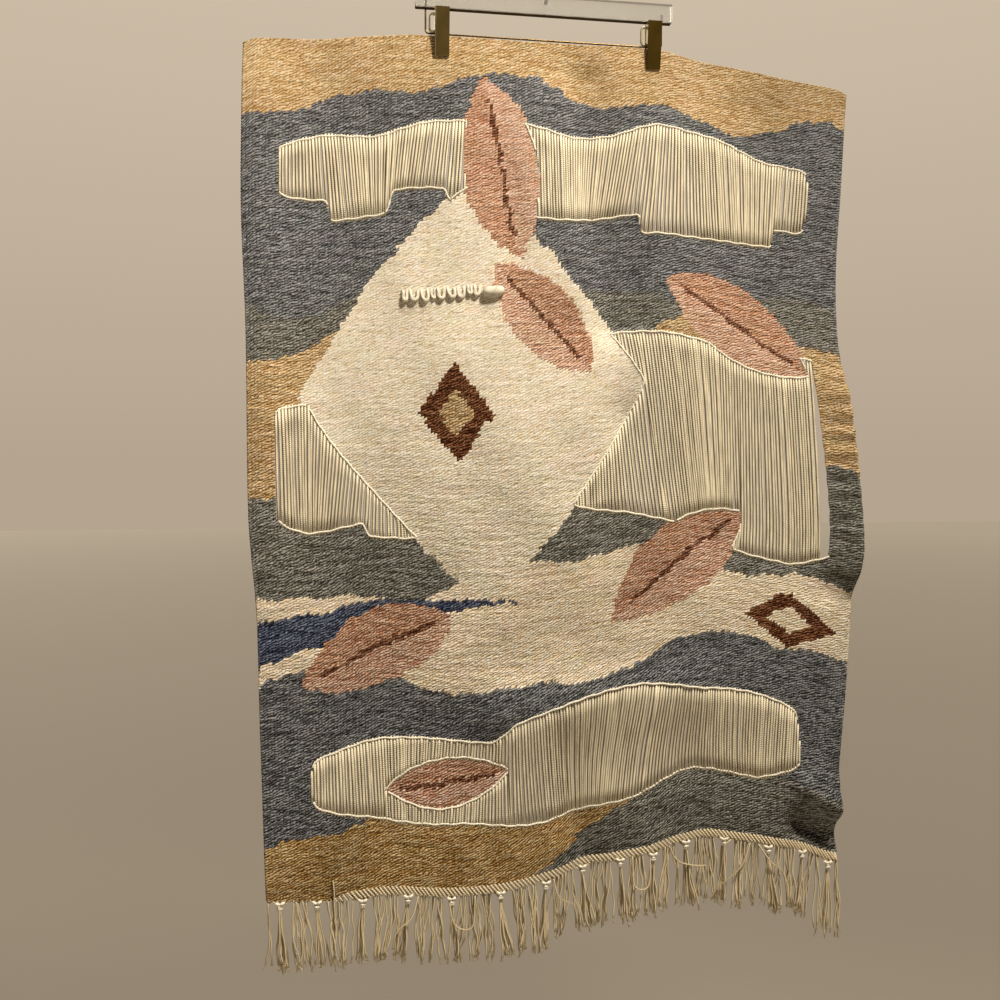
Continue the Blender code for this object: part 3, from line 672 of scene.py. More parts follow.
def makePiece(name, verts, faces, cornerUvs, uvName, material, slot, nodes=()):
    mesh = bpy.data.meshes.new(name)
    mesh.from_pydata(verts, [], faces)
    layer = mesh.uv_layers.new(name=uvName)
    layer.data.foreach_set("uv", np.asarray(cornerUvs, np.float32).ravel())
    mesh.materials.append(material)
    mesh.shade_smooth()
    piece = bpy.data.objects.new(name, mesh)
    scene.collection.objects.link(piece)
    return enrol(piece, slot, nodes)


def ringFrames(points):
    # two directions across the path at each point, turned as little as possible
    ahead = np.gradient(points, axis=0)
    ahead /= np.maximum(np.linalg.norm(ahead, axis=1, keepdims=True), 1e-12)
    side = np.cross(ahead[0], (0.0, 1.0, 0.0))
    if np.linalg.norm(side) < 0.2:
        side = np.cross(ahead[0], (1.0, 0.0, 0.0))
    sides = []
    for direction in ahead:
        side = side - direction * side.dot(direction)
        side /= max(np.linalg.norm(side), 1e-12)
        sides.append(side)
    sides = np.array(sides)
    return sides, np.cross(ahead, sides)


def lengthsAlong(points):
    return np.concatenate([[0], np.cumsum(np.linalg.norm(np.diff(points, axis=0), axis=1))])


def makeTubes(name, strands, sides, material, slot, nodes=(), uvName="strand", uvOf=None):
    # strands: (points, radius) with one radius or one for each point
    strandShift = 0 if uvOf else 0.731       # so that no two strands have the same marks
    verts, faces, caps, uvs, capUvs = [], [], [], [], []
    turn = np.arange(sides) * 2 * math.pi / sides
    c, s = np.cos(turn)[None, :, None], np.sin(turn)[None, :, None]
    cornerStep, cornerTurn = np.array([0, 0, 1, 1]), np.array([0, 1, 1, 0])
    first = 0
    for number, (points, radius) in enumerate(strands):
        points = np.asarray(points, float)
        count = len(points)
        radius = np.broadcast_to(np.asarray(radius, float), (count,))
        sideA, sideB = ringFrames(points)
        ring = c * sideA[:, None] + s * sideB[:, None]
        verts.append((points[:, None] + ring * radius[:, None, None]).reshape(-1, 3))
        along = number * strandShift + lengthsAlong(points)
        i, k = np.meshgrid(np.arange(count - 1), np.arange(sides), indexing="ij")
        i, k = i[..., None] + cornerStep, k[..., None] + cornerTurn
        faces.append((first + i * sides + k % sides).reshape(-1, 4))
        corner = np.stack([k / sides, along[i]], axis=-1)
        corner = (uvOf(corner) if uvOf else corner).reshape(-1, 2)
        uvs.append(corner)
        last = first + (count - 1) * sides
        caps += [list(range(first, first + sides))[::-1], list(range(last, last + sides))]
        capUvs += [corner[0]] * sides + [corner[-1]] * sides
        first += count * sides
    allFaces = np.concatenate(faces).tolist() + caps
    allUvs = np.concatenate(uvs + [np.array(capUvs)])
    return makePiece(name, np.concatenate(verts), allFaces, allUvs, uvName, material, slot, nodes)


# the woven cloth, in four lengths of one weaving
tailDrop = {"length": 0.0085, "full": 0.070, "gone": 0.095, "start": 0.90}


def tail(across, down):
    # at the left the wool goes on down to the very edge
    fade = np.clip((tailDrop["gone"] - across) / (tailDrop["gone"] - tailDrop["full"]), 0, 1)
    grow = np.clip((down - tailDrop["start"]) / (cloth["length"] - tailDrop["start"]), 0, 1)
    return down + tailDrop["length"] * fade * grow


def clothGrid():
    # grid of flat points and which cells are woven, with edges drawn to the true outlines
    across = np.linspace(0, cloth["width"], cloth["columns"] + 1)
    down = np.linspace(0, cloth["length"], cloth["rows"] + 1)
    gridAcross, gridDown = np.meshgrid(across, down)
    midAcross, midDown = np.meshgrid(across[:-1] + warpPitch / 2, down[:-1] + beadHeight / 2)
    woven = ~isBare(midAcross, midDown)
    padded = np.pad(woven, 1, constant_values=True)
    left, right = padded[:, :-1], padded[:, 1:]
    both, either = left & right, left | right
    moved = gridDown.copy()
    for wovenSide, bareSide, way in ((both[:-1], either[1:], 1), (both[1:], either[:-1], -1)):
        rows, columns = np.nonzero(wovenSide & ~bareSide)
        x, y = gridAcross[rows, columns], gridDown[rows, columns]
        farWoven, farBare = y - way * beadHeight * 0.8, y + way * beadHeight * 0.8
        good = ~isBare(x, farWoven) & isBare(x, farBare)
        edge = edgeAt(x, farWoven, farBare)
        moved[rows[good], columns[good]] = edge[good]
    return gridAcross, moved, woven


def weaveCloth():
    gridAcross, gridDown, woven = clothGrid()
    places = hang(gridAcross, tail(gridAcross, gridDown))
    outline = wovenShapes[freeLeaf]
    island = within(gridAcross[:-1, :-1] + warpPitch / 2, gridDown[:-1, :-1] + beadHeight / 2, outline)
    flat = np.stack([gridAcross.ravel(), tail(gridAcross, gridDown).ravel()], axis=-1)
    wide, long = cloth["columns"] + 1, cloth["rows"] // len(cloth["lengths"])
    cuts = {name: (n * long, (n + 1) * long) for n, name in enumerate(cloth["lengths"])}
    cuts["leafIsland"] = (0, cloth["rows"])
    made = []
    for name, (start, end) in cuts.items():
        free = name == "leafIsland"
        slot, node = ("pink_wool", "leaf_island") if free else ("wool", "woven_panel")
        rows, columns = np.nonzero((woven & (island if free else ~island))[start:end])
        corner = (rows + start) * wide + columns
        quads = np.stack([corner, corner + wide, corner + wide + 1, corner + 1], axis=-1)
        used, faces = np.unique(quads, return_inverse=True)
        piece = makePiece(name, places.reshape(-1, 3)[used], faces.reshape(-1, 4).tolist(),
                          flat[quads.ravel()], "flatCloth", pictureWool, slot, (node,))
        wall = piece.modifiers.new("wall", "SOLIDIFY")
        wall.thickness = cloth["thickness"]
        wall.offset = 0.0
        wall.use_even_offset = False
        selectOnly(piece)
        bpy.ops.object.modifier_apply(modifier="wall")
        bpy.ops.object.shade_smooth_by_angle(angle=math.radians(50))
        made.append((piece, len(quads) * warpPitch * beadHeight))
    return made


clothParts = weaveCloth()
print("cloth woven:", ", ".join(f"{p.name} {len(p.data.polygons)}" for p, area in clothParts))


# edges of the weaving
rim = {"inset": 0.12, "turns": 0.00145, "bulge": 0.22, "drop": 0.0006, "hem": 0.0015, "hemBulge": 0.16}


def wrapped(name, points, radius, onCloth):
    # a rolled edge; onCloth tells which flat place a turn and a length along it show
    return makeTubes(name, [(points, radius)], 8, pictureWool, "wool", uvName="flatCloth",
                     uvOf=lambda corner: np.stack(onCloth(corner[..., 0], corner[..., 1]), axis=-1))


def selvedge(name, column):
    # the weft's turns round the outermost warp
    down = np.arange(0, cloth["length"], beadHeight / 4)
    at = warpPitch * (rim["inset"] if column == 0 else cloth["columns"] - rim["inset"])
    points = hang(at, tail(np.full_like(down, at), down))
    radius = rim["turns"] * (1 + rim["bulge"] * np.sin(2 * math.pi * down / beadHeight))
    start = column * warpPitch
    return wrapped(name, points, radius, lambda turn, along: (start + turn * warpPitch, along))


def topHem():
    across = np.arange(0, cloth["width"], warpPitch / 4)
    radius = rim["hem"] * (1 + rim["hemBulge"] * np.sin(2 * math.pi * across / warpPitch))
    points = hang(across, rim["drop"])
    return wrapped("topHem", points, radius, lambda turn, along: (along, turn * beadHeight))


cord = {
    "radius": 0.00118,
    "bulge": 0.18,
    "forward": 0.0012,
    "outward": 0.0005,
    "wander": 0.0005,
    "wave": 0.023,           # length of one wander
    "steepest": 0.25,
}


def runsOf(keep):
    # start and end of each run of true values
    edges = np.flatnonzero(np.diff(np.concatenate([[0], keep.astype(int), [0]])))
    return edges.reshape(-1, 2)


def insideAny(outline, shapes):
    return np.any([within(outline[:, 0], outline[:, 1], shape) for shape in shapes], axis=0)


def edgeRuns():
    # stretches of outline along which the weaving meets bare warps
    gaps, woven = list(openOutlines.values()), list(wovenShapes.values())
    stretches = [(outline, ~insideAny(outline, woven)) for outline in gaps]
    for outline in woven:
        others = [shape for shape in woven if shape is not outline]
        stretches.append((outline, insideAny(outline, gaps) & ~insideAny(outline, others)))
    runs = []
    for outline, keep in stretches:
        step = np.roll(outline, -1, axis=0) - outline
        steep = abs(step[:, 0]) < cord["steepest"] * np.linalg.norm(step, axis=1)
        keep = keep & ~steep
        if keep.any() and not keep.all():
            turn = int(np.flatnonzero(~keep)[0])
            outline, keep = np.roll(outline, -turn, axis=0), np.roll(keep, -turn)
        for start, end in runsOf(keep):
            if end - start > 4:
                runs.append(outline[start:end])
    return runs


def edgeCords():
    strands = []
    for run in edgeRuns():
        length = lengthsAlong(run)
        at = np.arange(0, length[-1], warpPitch / 2)
        across, down = np.interp(at, length, run[:, 0]), np.interp(at, length, run[:, 1])
        wobble = cord["wander"] * np.sin(at * 2 * math.pi / cord["wave"] + run[0, 0] * 90)
        wobble += cord["outward"] * np.where(isBare(across, down + 0.002), 1, -1)
        points = hang(across, down + wobble)
        points[:, 1] -= cord["forward"]
        radius = cord["radius"] * (1 + cord["bulge"] * np.cos(2 * math.pi * across / warpPitch))
        strands.append((points, radius))
    return makeTubes("edgeCords", strands, 6, cordCotton, "cotton_warp")


lastColumn = cloth["columns"] - 1
edgePieces = [selvedge("leftSelvedge", 0), selvedge("rightSelvedge", lastColumn), topHem(), edgeCords()]
print("edges bound")


# bare warps in the openings
bareWarp = {
    "radius": 0.00177,
    "step": 0.020,
    "taut": 0.6,             # 1 is straight from end to end
    "pair": (0.00008, 0.00020),      # how far two neighbours close up, at top and bottom
    "bow": 0.0004,
    "thickness": 0.10,       # how much the warps differ in it
    "lean": 0.0125,          # how far the bottom of a long warp strays sideways
    "pace": 27.0,            # and how soon that changes across the cloth
    "long": 0.090,
    "seed": 11,
}
rightLean = {"from": 0.625, "reach": 0.059, "shift": -0.0085, "last": 0.684}


def bareRuns(name):
    # each warp's bare stretches inside one opening, and how far each leans
    outline = openOutlines[name]
    low, high = outline.min(axis=0), outline.max(axis=0)
    columns = np.arange(int(low[0] / warpPitch), int(high[0] / warpPitch) + 1)
    down = np.arange(low[1] - 0.004, high[1] + 0.004, 0.001)
    across, deep = np.meshgrid((columns + 0.5) * warpPitch, down, indexing="ij")
    bare = isBare(across, deep, name)
    found = []
    for column, keep in zip(columns, bare):
        x = (column + 0.5) * warpPitch
        free = math.sin(math.pi * np.clip((x - low[0]) / (high[0] - low[0]), 0, 1))
        for start, end in runsOf(keep):
            if end - start <= 4:
                continue
            length = down[end - 1] - down[start]
            lean = bareWarp["lean"] * math.sin(x * bareWarp["pace"] + 4.4 + 9 * low[1]) * free
            lean *= min(length / bareWarp["long"], 1.2)
            if name == "right":
                lean += rightLean["shift"] * np.clip((x - rightLean["from"]) / rightLean["reach"], 0, 1)
            below = down[start + 3:] - down[start]
            blocked = np.flatnonzero(~isBare(x + lean * below / length, down[start] + below, name))
            reach = below[blocked[0]] if len(blocked) else length
            if x < rightLean["last"]:
                found.append((column, down[start] - 0.002, down[start] + reach + 0.002,
                              lean * reach / length))
    return found


def bareWarps(name, seed):
    rng = np.random.default_rng(seed)
    shift = rng.normal(0, 1, (cloth["columns"], 2))
    pairing = np.repeat(rng.uniform(0.5, 1.5, (cloth["columns"] // 2 + 1, 2)), 2, axis=0)
    strands = []
    for column, start, end, lean in bareRuns(name):
        across = (column + 0.5) * warpPitch
        steps = max(4, int((end - start) / bareWarp["step"]))
        t = np.linspace(0, 1, steps + 1)
        free = hang(across + lean * t, start + (end - start) * t)
        line = free[0] + (free[-1] - free[0]) * t[:, None]
        points = free + (line - free) * bareWarp["taut"]
        toward = 1 if column % 2 == 0 else -1
        close = pairing[column] * bareWarp["pair"] * toward
        points[:, 0] += close[0] * (1 - t) + close[1] * t
        points[:, 0] += bareWarp["bow"] * shift[column, 0] * np.sin(math.pi * t)
        points[:, 1] += bareWarp["bow"] * (shift[column, 1] + toward) * np.sin(math.pi * t)
        radius = bareWarp["radius"] * (1 + bareWarp["thickness"] * shift[column, 0])
        strands.append((points, radius))
    node = "open_warps_" + name.replace("L", "_l").replace("R", "_r")
    name = "warps" + name[0].upper() + name[1:]
    return makeTubes(name, strands, 8, warpCotton, "cotton_warp", (node,))


warpPieces = [bareWarps(name, bareWarp["seed"] + n) for n, name in enumerate(openings)]
print("warps strung:", sum(len(p.data.polygons) for p in warpPieces), "faces")


# slanted heading, knots and fringe
heading = {
    "pitch": 0.0048,
    "radius": 0.00150,
    "thinnest": 0.45,        # share of it where the ends hang straight
    "profile": (             # share of the way down, how far forward, how thick
        (0.0, -0.4, 0.6), (0.12, 0.7, 0.95), (0.35, 1.15, 1.0),
        (0.65, 1.2, 1.03), (0.90, 1.1, 1.1), (1.0, 0.5, 0.8),
    ),
    "start": 0.066,          # across: further left the wool reaches the edge
    "slant": 0.0085,         # how far right one end goes on its way down
    "forward": 0.0013,
}
fringe = {
    "radius": 0.00100,
    "spacing": 0.006,
    "wave": 0.0009,
    "kinks": (1.3, 2.6),     # least and most waves along one end
    "sway": 0.0024,
    "bends": (0.4, 0.9),
    "beside": 0.0012,        # how far an end passes its knot's middle
    "splay": (0.0034, 0.0030),       # how far ends part below their knot, sideways and forward
    "gather": 0.45,          # how far loose ends gather towards a tuft
    "tied": 0.0110,          # ends this near a knot go through it
    "triple": 0.45,          # share of ends that are three together, not two
    "apart": 0.0013,         # and how far apart they begin
    "ragged": (-0.002, 0.0035),      # by how much lengths differ, mean and spread
    "tuft": (0.0016, 0.0032, 0.0030),        # spread of a tuft's place and of its way down
    "fray": 0.006,
}
bunches = np.array((     # millimetres: knot's x, drop below the heading, length of its ends, lean
    (-312, 8, 80, 4), (-270, 7, 76, 6), (-217, 9, 72, -4), (-164, 8, 74, -8), (-112, 9, 78, 4),
    (-54, 7, 77, 6), (2, 9, 80, -2), (50, 8, 76, 8), (94, 7, 74, 4), (134, 9, 72, 0),
    (178, 8, 78, 6), (228, 7, 76, -2), (282, 9, 80, 4), (330, 8, 74, -4), (366, 10, 94, 2),
)) / 1000
knot = {"radius": 0.0023, "wrap": 0.00160, "turns": 2.1, "height": 0.0048, "ear": 0.0052}
strays = np.array((      # stray single ends, millimetres: across, below the heading's top, forward
    ((77, -17, 3), (78, -4, 3.6), (78, 14, 3), (81, 52, 2.2)),
    ((214, 8, 2), (222, 42, 5), (243, 46, 5), (247, 10, 2)),
    ((444, 8, 2), (446, 44, 6), (463, 46, 6), (466, 9, 2)),
    ((492, 9, 2), (503, 30, 5), (526, 41, 6), (541, 43, 6)),
    ((598, 10, 2), (585, 40, 6), (560, 66, 6), (548, 86, 4)),
    ((608, 10, 2), (622, 28, 6), (640, 40, 5), (648, 66, 2)),
    ((345, 10, 2), (352, 34, 5), (371, 52, 6), (378, 79, 3)),
    ((178, 10, 2), (170, 34, 6), (152, 52, 6), (147, 74, 3)),
)) / 1000


def headingEnds():
    # flat places where each end begins and where it leaves the heading
    begin = np.arange(0.0015, cloth["width"] - 0.001, heading["pitch"])
    slanted = np.clip((begin - heading["start"]) / 0.03, 0, 1)
    leave = np.minimum(begin + heading["slant"] * slanted, cloth["width"] - 0.0012)
    return begin, leave, slanted


def slantedHeading():
    rng = np.random.default_rng(8)
    strands = []
    share, rise, plump = np.array(heading["profile"]).T
    for begin, leave, slanted in zip(*headingEnds()):
        top = float(tail(np.array(begin), np.array(cloth["length"] - 0.0014)))
        bottom = cloth["length"] + cloth["heading"] + rng.normal(0.0002, 0.0005)
        across = begin + (leave - begin) * share
        thick = heading["radius"] * rng.uniform(0.92, 1.08)
        thick *= heading["thinnest"] + (1 - heading["thinnest"]) * slanted
        for face in (-1, 1):
            points = hang(across, top + (bottom - top) * share)
            points[:, 1] += face * heading["forward"] * rise
            strands.append((points, thick * plump))
    return makeTubes("slantedHeading", strands, 8, fringeCotton, "cotton_fringe", ("bottom_heading",))


def knotWraps(place, rng):
    # turns pulled tight round the bunch, with an ear of yarn on each side above
    t = np.linspace(0, 1, 26)
    turn = 2 * math.pi * knot["turns"] * t + rng.uniform(0, 6)
    size = knot["radius"] * (1 - 0.35 * abs(2 * t - 1) ** 2)
    ball = np.stack([size * 1.15 * np.cos(turn), size * np.sin(turn),
                     knot["height"] * (0.5 - t) + 0.0008 * np.cos(turn)], axis=-1)
    wraps = [(ball + place, knot["wrap"])]
    for side in (-1, 1):
        s = np.linspace(0, 1, 6)
        out = knot["ear"] * rng.uniform(0.85, 1.15)
        rise = 0.0036 + 0.0028 * s**0.7
        ear = np.stack([side * out * s, -0.0026 * np.sin(math.pi * s), rise], axis=-1)
        wraps.append((ear + place, knot["wrap"] * np.array([0.7, 0.95, 1.05, 1.1, 1.05, 0.7])))
    return wraps


def hangingEnd(foot, length, nearest, tuft, rng):
    # one end, from the heading down to its tip
    count = int(length / fringe["spacing"]) + 2
    t = np.linspace(0, 1, count)
    points = np.repeat(foot[None], count, axis=0)
    points[:, 2] -= length * t
    phase = rng.uniform(0, 6.3, 3)
    kink = np.sin(2 * math.pi * t * rng.uniform(*fringe["kinks"]) + phase[0])
    sway = np.sin(2 * math.pi * t * rng.uniform(*fringe["bends"]) + phase[1]) - math.sin(phase[1])
    if abs(nearest[0] - foot[0]) < fringe["tied"]:
        knotT = nearest[1] / length
        pull = np.clip(t / knotT, 0, 1) ** 0.8
        free = np.clip((t - knotT) / (1 - knotT), 0, 1)
        beside, (aside, forward) = fringe["beside"], fringe["splay"]
        points[:, 0] += (nearest[0] - foot[0] + rng.uniform(-beside, beside)) * pull
        points[:, 0] += (rng.normal(0, aside) + nearest[3]) * free
        points[:, 1] += rng.uniform(-beside, beside) * pull + rng.normal(0, forward) * free
    else:
        free = np.clip(t * 2.5, 0, 1)
        points[:, 0] += (tuft[0] - foot[0]) * fringe["gather"] * t**1.1 + tuft[1] * t
        points[:, 1] += tuft[2] * t
    points[:, 0] += (kink * fringe["wave"] + sway * fringe["sway"]) * free
    points[:, 1] += np.sin(2 * math.pi * t * 1.7 + phase[2]) * fringe["wave"] * free
    return points, fringe["radius"] * (1 + 0.08 * kink)


def fraying(tip, way, rng):
    s = np.linspace(0, 1, 4)[:, None]
    for side in (-1, 1):
        out = np.array([side * rng.uniform(0.0004, 0.0018), rng.normal(0, 0.001), 0])
        fray = tip + way * (s * fringe["fray"] * rng.uniform(0.6, 1.3) - 0.001) + out * s**1.5
        yield fray, fringe["radius"] * np.array([0.75, 0.65, 0.55, 0.30])


def looseEnds(rng):
    strands, frays = [], []
    left = 0
    for leave in headingEnds()[1]:
        foot = np.asarray(hang(leave, cloth["length"] + cloth["heading"] - 0.001), float)
        nearest = min(bunches, key=lambda row: abs(row[0] - foot[0]))
        if left == 0:
            left = int(rng.integers(2, 5))
            place, sideways, forward = (rng.normal(0, spread) for spread in fringe["tuft"])
            middle = foot[0] + (left / 2 - 0.5) * heading["pitch"] + place
            tuft = (middle, nearest[3] * 0.6 + sideways, forward)
        left -= 1
        for twin in range(3 if rng.random() < fringe["triple"] else 2):
            length = np.interp(foot[0], bunches[:, 0], bunches[:, 2]) + rng.normal(*fringe["ragged"])
            start = foot + np.array([rng.normal(0, 0.0007), fringe["apart"] * (twin - 0.5), 0])
            points, radius = hangingEnd(start, length, nearest, tuft, rng)
            strands.append((points, radius))
            way = points[-1] - points[-2]
            frays.extend(fraying(points[-1], way / np.linalg.norm(way), rng))
    return strands, frays


def strayEnds():
    strands = []
    for corners in strays:
        number = np.arange(len(corners))
        at = np.linspace(0, number[-1], 6 * len(corners))
        across, below, forward = (smoothCurve(np.stack([number, row], axis=1), at) for row in corners.T)
        points = hang(np.clip(across, 0, cloth["width"]), cloth["length"] + np.minimum(below, 0.0))
        points[:, 2] -= np.maximum(below, 0.0)
        points[:, 1] -= forward
        strands.append((points, fringe["radius"]))
    return strands


def makeFringe():
    rng = np.random.default_rng(21)
    strands, frays = looseEnds(rng)
    ends = makeTubes("fringeEnds", strands + strayEnds(), 6, fringeCotton, "cotton_fringe", ("fringe",))
    tips = makeTubes("frayedTips", frays, 4, fringeCotton, "cotton_fringe")
    wraps = []
    for x, drop in bunches[:, :2]:
        across = (x - leftEdge[-1][1]) / (rightEdge[-1][1] - leftEdge[-1][1]) * cloth["width"]
        foot = hang(min(across, cloth["width"]), cloth["length"] + cloth["heading"] - 0.001)
        wraps += knotWraps(np.array([x, foot[1] - 0.0008, foot[2] - drop]), rng)
    knots = makeTubes("fringeKnots", wraps, 8, cordCotton, "cotton_fringe")
    return [ends, tips, knots]


headingPiece = slantedHeading()
fringePieces = makeFringe()
print("fringe knotted:", sum(len(p.data.polygons) for p in fringePieces), "faces")


# raised loops on the lozenge
loopRow = {
    "place": (0.238, 0.285),
    "length": 0.122,
    "radius": 0.0025,
    "drop": 0.0150,
    "forward": 0.0020,
    "climb": 0.010,          # how much higher the row ends than it starts
    "sizes": (0.75, 1.10, 1.00, 0.62, 1.00, 1.06, 1.00, 0.66, 0.92),
    "roll": 2.3,             # width of the fat roll at its end
    "rollRadius": 0.0070,
}


def oneLoop(foot, whole, rng):
    # a length of soft yarn pulled out between two warps
    thick = min(loopRow["radius"], whole * 0.52) * rng.uniform(0.95, 1.08)
    half = max(whole - thick * 0.85, 0.0006)
    drop = loopRow["drop"] * min(1.0, 0.62 + whole * 66) * rng.uniform(0.90, 1.06)
    angle = math.pi * np.linspace(0, 1, 17)
    lean = rng.uniform(-0.0016, 0.0016)
    x = -half * np.cos(angle) + lean * np.sin(angle)
    z = 0.0050 - (drop - thick) * np.sin(angle) ** 0.48
    y = -cloth["thickness"] / 2 - loopRow["forward"] * np.sin(angle) ** 0.45
    points = np.stack([x, y + rng.uniform(-0.0006, 0.0006), z], axis=-1) + foot
    return points, thick * (0.80 + 0.26 * np.sin(angle))


def fatRoll(foot, whole):
    s = np.linspace(-1, 1, 19)
    x = whole * 0.96 * s
    z = -0.0026 - 0.0018 * (1 - s**2) + 0.0014 * s
    y = -cloth["thickness"] / 2 - 0.0010 * (1 - s**4) - 0.0006
    radius = loopRow["rollRadius"] * np.sqrt(np.maximum(1 - s**4, 0.02))
    return np.stack([x, y, z], axis=-1) + foot, radius


def raisedLoops():
    rng = np.random.default_rng(5)
    across, down = loopRow["place"]
    widths = np.array([*loopRow["sizes"], loopRow["roll"]])
    edges = np.concatenate([[0], np.cumsum(widths)]) / widths.sum()
    strands = []
    for k, (left, right) in enumerate(zip(edges, edges[1:])):
        middle = across + ((left + right) / 2 - 0.5) * loopRow["length"]
        foot = hang(middle, down - loopRow["climb"] * (left - 0.5))
        whole = (right - left) / 2 * loopRow["length"]
        if k < len(loopRow["sizes"]):
            strands.append(oneLoop(foot, whole, rng))
        else:
            strands.append(fatRoll(foot, whole))
    return makeTubes("raisedLoops", strands, 10, loopWool, "cotton_fringe", ("loop_row",))


loops = raisedLoops()
print("loops raised")


# hanger
hanger = {
    "brass": (tint(0.20, 0.132, 0.026), tint(0.12, 0.076, 0.012)),
    # the left clip's front: the same brass painted lighter, painted light
    "litLeftBrass": (tint(0.40, 0.278, 0.098), tint(0.24, 0.165, 0.055)),
    "flange": tint(0.62, 0.52, 0.30),       # painted highlight along the left edge of the left clip
    "flangeWidth": 0.0016,
    # the rod's brass is darker than the clips': painted shade
    "rod": (tint(0.110, 0.070, 0.026), tint(0.070, 0.045, 0.016)),
    "spring": (tint(0.93, 0.87, 0.66), tint(0.82, 0.74, 0.50)),
    "underside": 0.0012,     # height of the painted shade at the back foot of the clear bar
}
spring = {"wire": 0.00112, "pitch": 0.0022, "halfWidth": 0.0033, "halfHeight": 0.0104, "leg": 0.0060}


def brassMaterial(name, pale, dark, metal=1.0, edge=None):
    book = NodeBook(name)
    x, y, z = book.parts(book.add("TexCoord", output=3))
    wear = book.noise(3.0, 60.0, X=x, Y=y, Z=z)
    colour = book.blend(wear, pale, dark)
    if edge:
        # painted highlight along the edge
        colour = book.blend(x < edge + hanger["flangeWidth"], colour, hanger["flange"])
    book.bump(book.noise(X=x * 2600.0, Y=y * 2600.0, Z=z * 90.0), 0.00003, 0.6)
    return book.finish(Base_Color=colour, Metallic=metal, Roughness=0.24 + wear * 0.18)


def clearMaterial():
    book = NodeBook("clearAcrylic")
    x, y, z = book.parts(book.add("TexCoord", output=3))
    haze = book.noise(3.0, 35.0, X=x, Y=y, Z=z)
    # painted shade: an opaque dark finish on the clear bar's back foot, for the dark line the acrylic
    # shows there
    dark = book.add("BsdfPrincipled", {"Base Color": tint(0.075, 0.048, 0.020), "Roughness": 0.8,
                                       "Specular IOR Level": 0.05})
    behind = y > barLow.y * 0.8 + barHigh.y * 0.2
    underside = (z < barLow.z + hanger["underside"]) * behind
    clear = Signal(book, book.shader.outputs[0])
    mix = book.add("MixShader", {0: underside, 1: clear, 2: dark})
    book.plug(mix, book.tree.nodes["Material Output"].inputs["Surface"])
    return book.finish(Base_Color=tint(0.82, 0.825, 0.80), Roughness=0.04 + haze * 0.08,
                       Transmission_Weight=0.86, IOR=1.49)


def dress(material, *nodes):
    for name in nodes:
        for slot in bpy.data.objects[name].material_slots:
            slot.material = material


def springCoil(side, material):
    # two tall turns of wire beside a clip, and two short legs that reach it
    low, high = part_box(f"clip_{side}_spring")
    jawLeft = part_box(f"clip_{side}_front")[0].x
    wire, pitch, halfWidth, halfHeight, leg = spring.values()
    middle = Vector((jawLeft - halfWidth + wire, 0.0, (low.z + high.z) / 2))
    parts = []
    for way in (-0.5, 0.5):
        selectOnly()
        place = middle + Vector((0.0, way * pitch, 0.0))
        bpy.ops.curve.primitive_bezier_circle_add(radius=halfWidth, location=place,
                                                  rotation=(math.pi / 2, 0.0, 0.0))
        turn = bpy.context.object.data
        turn.bevel_depth = wire
        turn.bevel_resolution = 2
        turn.resolution_u = 10
        bpy.ops.object.mode_set(mode="EDIT")
        bpy.ops.curve.select_all(action="SELECT")
        bpy.ops.transform.resize(value=(1.0, 1.0, halfHeight / halfWidth))
        bpy.ops.object.mode_set(mode="OBJECT")
        bpy.ops.object.convert(target="MESH")
        parts.append(bpy.context.object)
    for way in (-0.5, 0.5):
        selectOnly()
        end = middle + Vector((halfWidth + 0.0018, way * pitch, -way * halfHeight * 1.7))
        bpy.ops.mesh.primitive_cylinder_add(vertices=12, radius=wire, depth=leg, location=end,
                                            rotation=(0.0, math.pi / 2, 0.0))
        parts.append(bpy.context.object)
    selectOnly(*parts)
    bpy.ops.object.transform_apply(location=True, rotation=True, scale=True)
    bpy.ops.object.join()
    coil = bpy.context.object
    coil.name = f"{side}SpringCoil"
    coil.data.materials.clear()
    coil.data.materials.append(material)
    bpy.ops.object.shade_smooth_by_angle(angle=math.radians(40))
    enrol(coil, "brass", (f"clip_{side}_spring",))


brass = brassMaterial("brushedBrass", *hanger["brass"])
dress(brass, "hanger_hook", "clip_right_front", "clip_right_back", "clip_left_back")
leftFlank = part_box("clip_left_front")[0].x
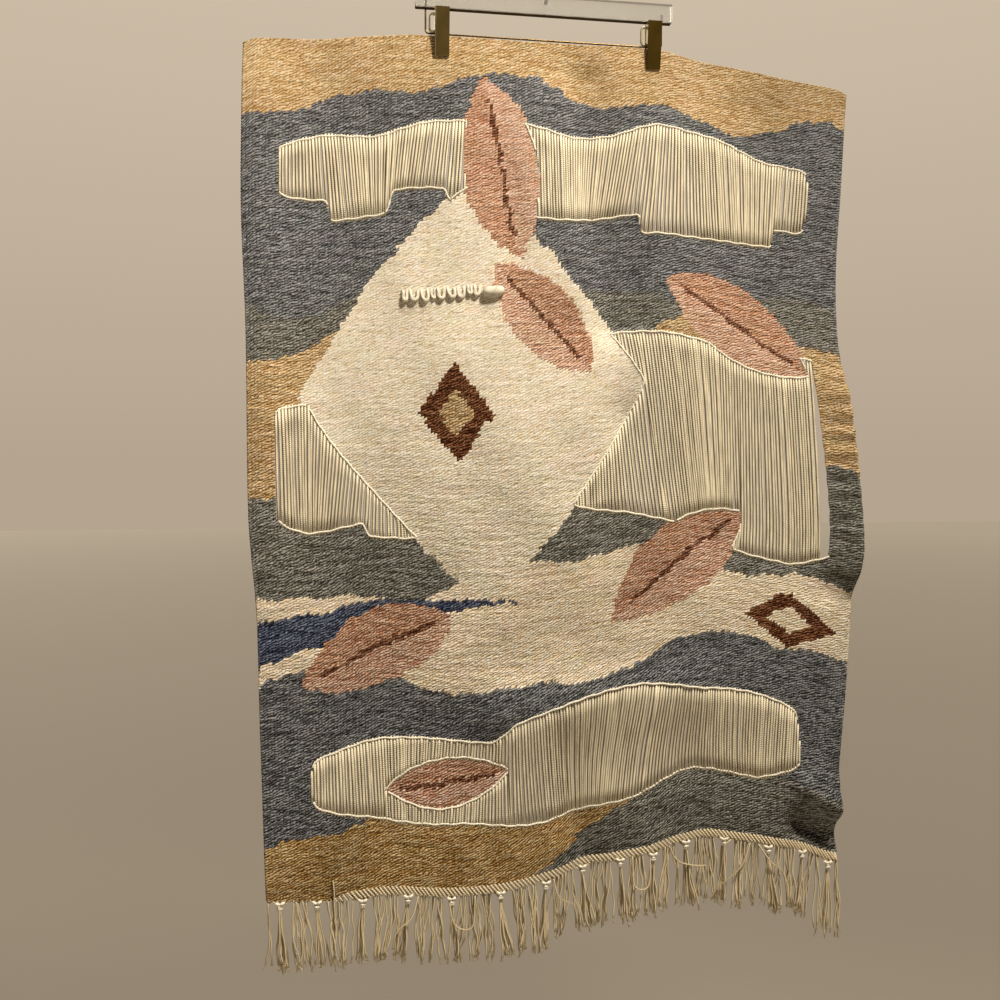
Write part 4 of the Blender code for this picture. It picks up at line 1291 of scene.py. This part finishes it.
# painted light: the left clip's front is a lighter copy of the brass, with a painted highlight on its
# left edge
dress(brassMaterial("litEdgedBrass", *hanger["litLeftBrass"], edge=leftFlank), "clip_left_front")
dress(brassMaterial("shadedRodBrass", *hanger["rod"]), "clip_rod")
springBrass = brassMaterial("springBrass", *hanger["spring"], metal=0.55)
for side in ("left", "right"):
    springCoil(side, springBrass)
dress(clearMaterial(), "hanger_bar")
print("hanger finished")


# floor and room
def makeFloor():
    selectOnly()
    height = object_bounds()[0].z - view["floor"]
    bpy.ops.mesh.primitive_plane_add(size=view["floorSide"], location=(0, 0, height))
    floor = bpy.context.object
    floor.name = "floor"
    book = NodeBook("paleFloor")
    away = book.add("VectorMath", {0: book.add("TexCoord", output=3)}, 1, operation="LENGTH")
    # painted shade: the floor is darker near the middle, under the cloth, and paler further away
    colour = book.blend((away * 2.0 / view["floorSide"]).clipped(0.0, 1.0),
                        tint(0.44, 0.395, 0.33), tint(0.725, 0.668, 0.575))
    floor.data.materials.append(book.finish(Base_Color=colour, Roughness=0.9))


def lightRoom():
    scene.world = bpy.data.worlds.new("room")
    book = NodeBook("room", scene.world)
    height = book.parts(book.add("TexCoord"))[2]
    share = book.add("MapRange", {"Value": height, "From Max": view["backdropHeight"]})
    # painted light: the backdrop pales towards the top, and the camera sees it at full strength while
    # it lights the cloth only at roomLight's share
    shade = book.blend(share, tint(*view["backdrop"]), tint(*view["backdropTop"]))
    seen = book.add("Background", {"Color": shade})
    lit = book.add("Background", {"Color": shade, "Strength": view["roomLight"]})
    ray = book.add("LightPath")
    looking = book.sum("MAXIMUM", ray, ray.other("Is Transmission Ray"))
    mix = book.add("MixShader", {0: looking, 1: lit, 2: seen})
    book.plug(mix, book.tree.nodes["World Output"].inputs["Surface"])


makeFloor()
lightRoom()

# what each length of cloth hangs from, and its flat size; neither is used
hangsFrom = {"clothTop": ["clip_left_front", "clip_right_front"], "leafIsland": ["warpsLow"]}
lengthSize = (cloth["width"], cloth["length"] / len(cloth["lengths"]))
for piece, area in clothParts:
    leaves[freeLeaf][2:4] if piece.name == "leafIsland" else lengthSize
    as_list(hangsFrom.get(piece.name, ["clothTop"]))
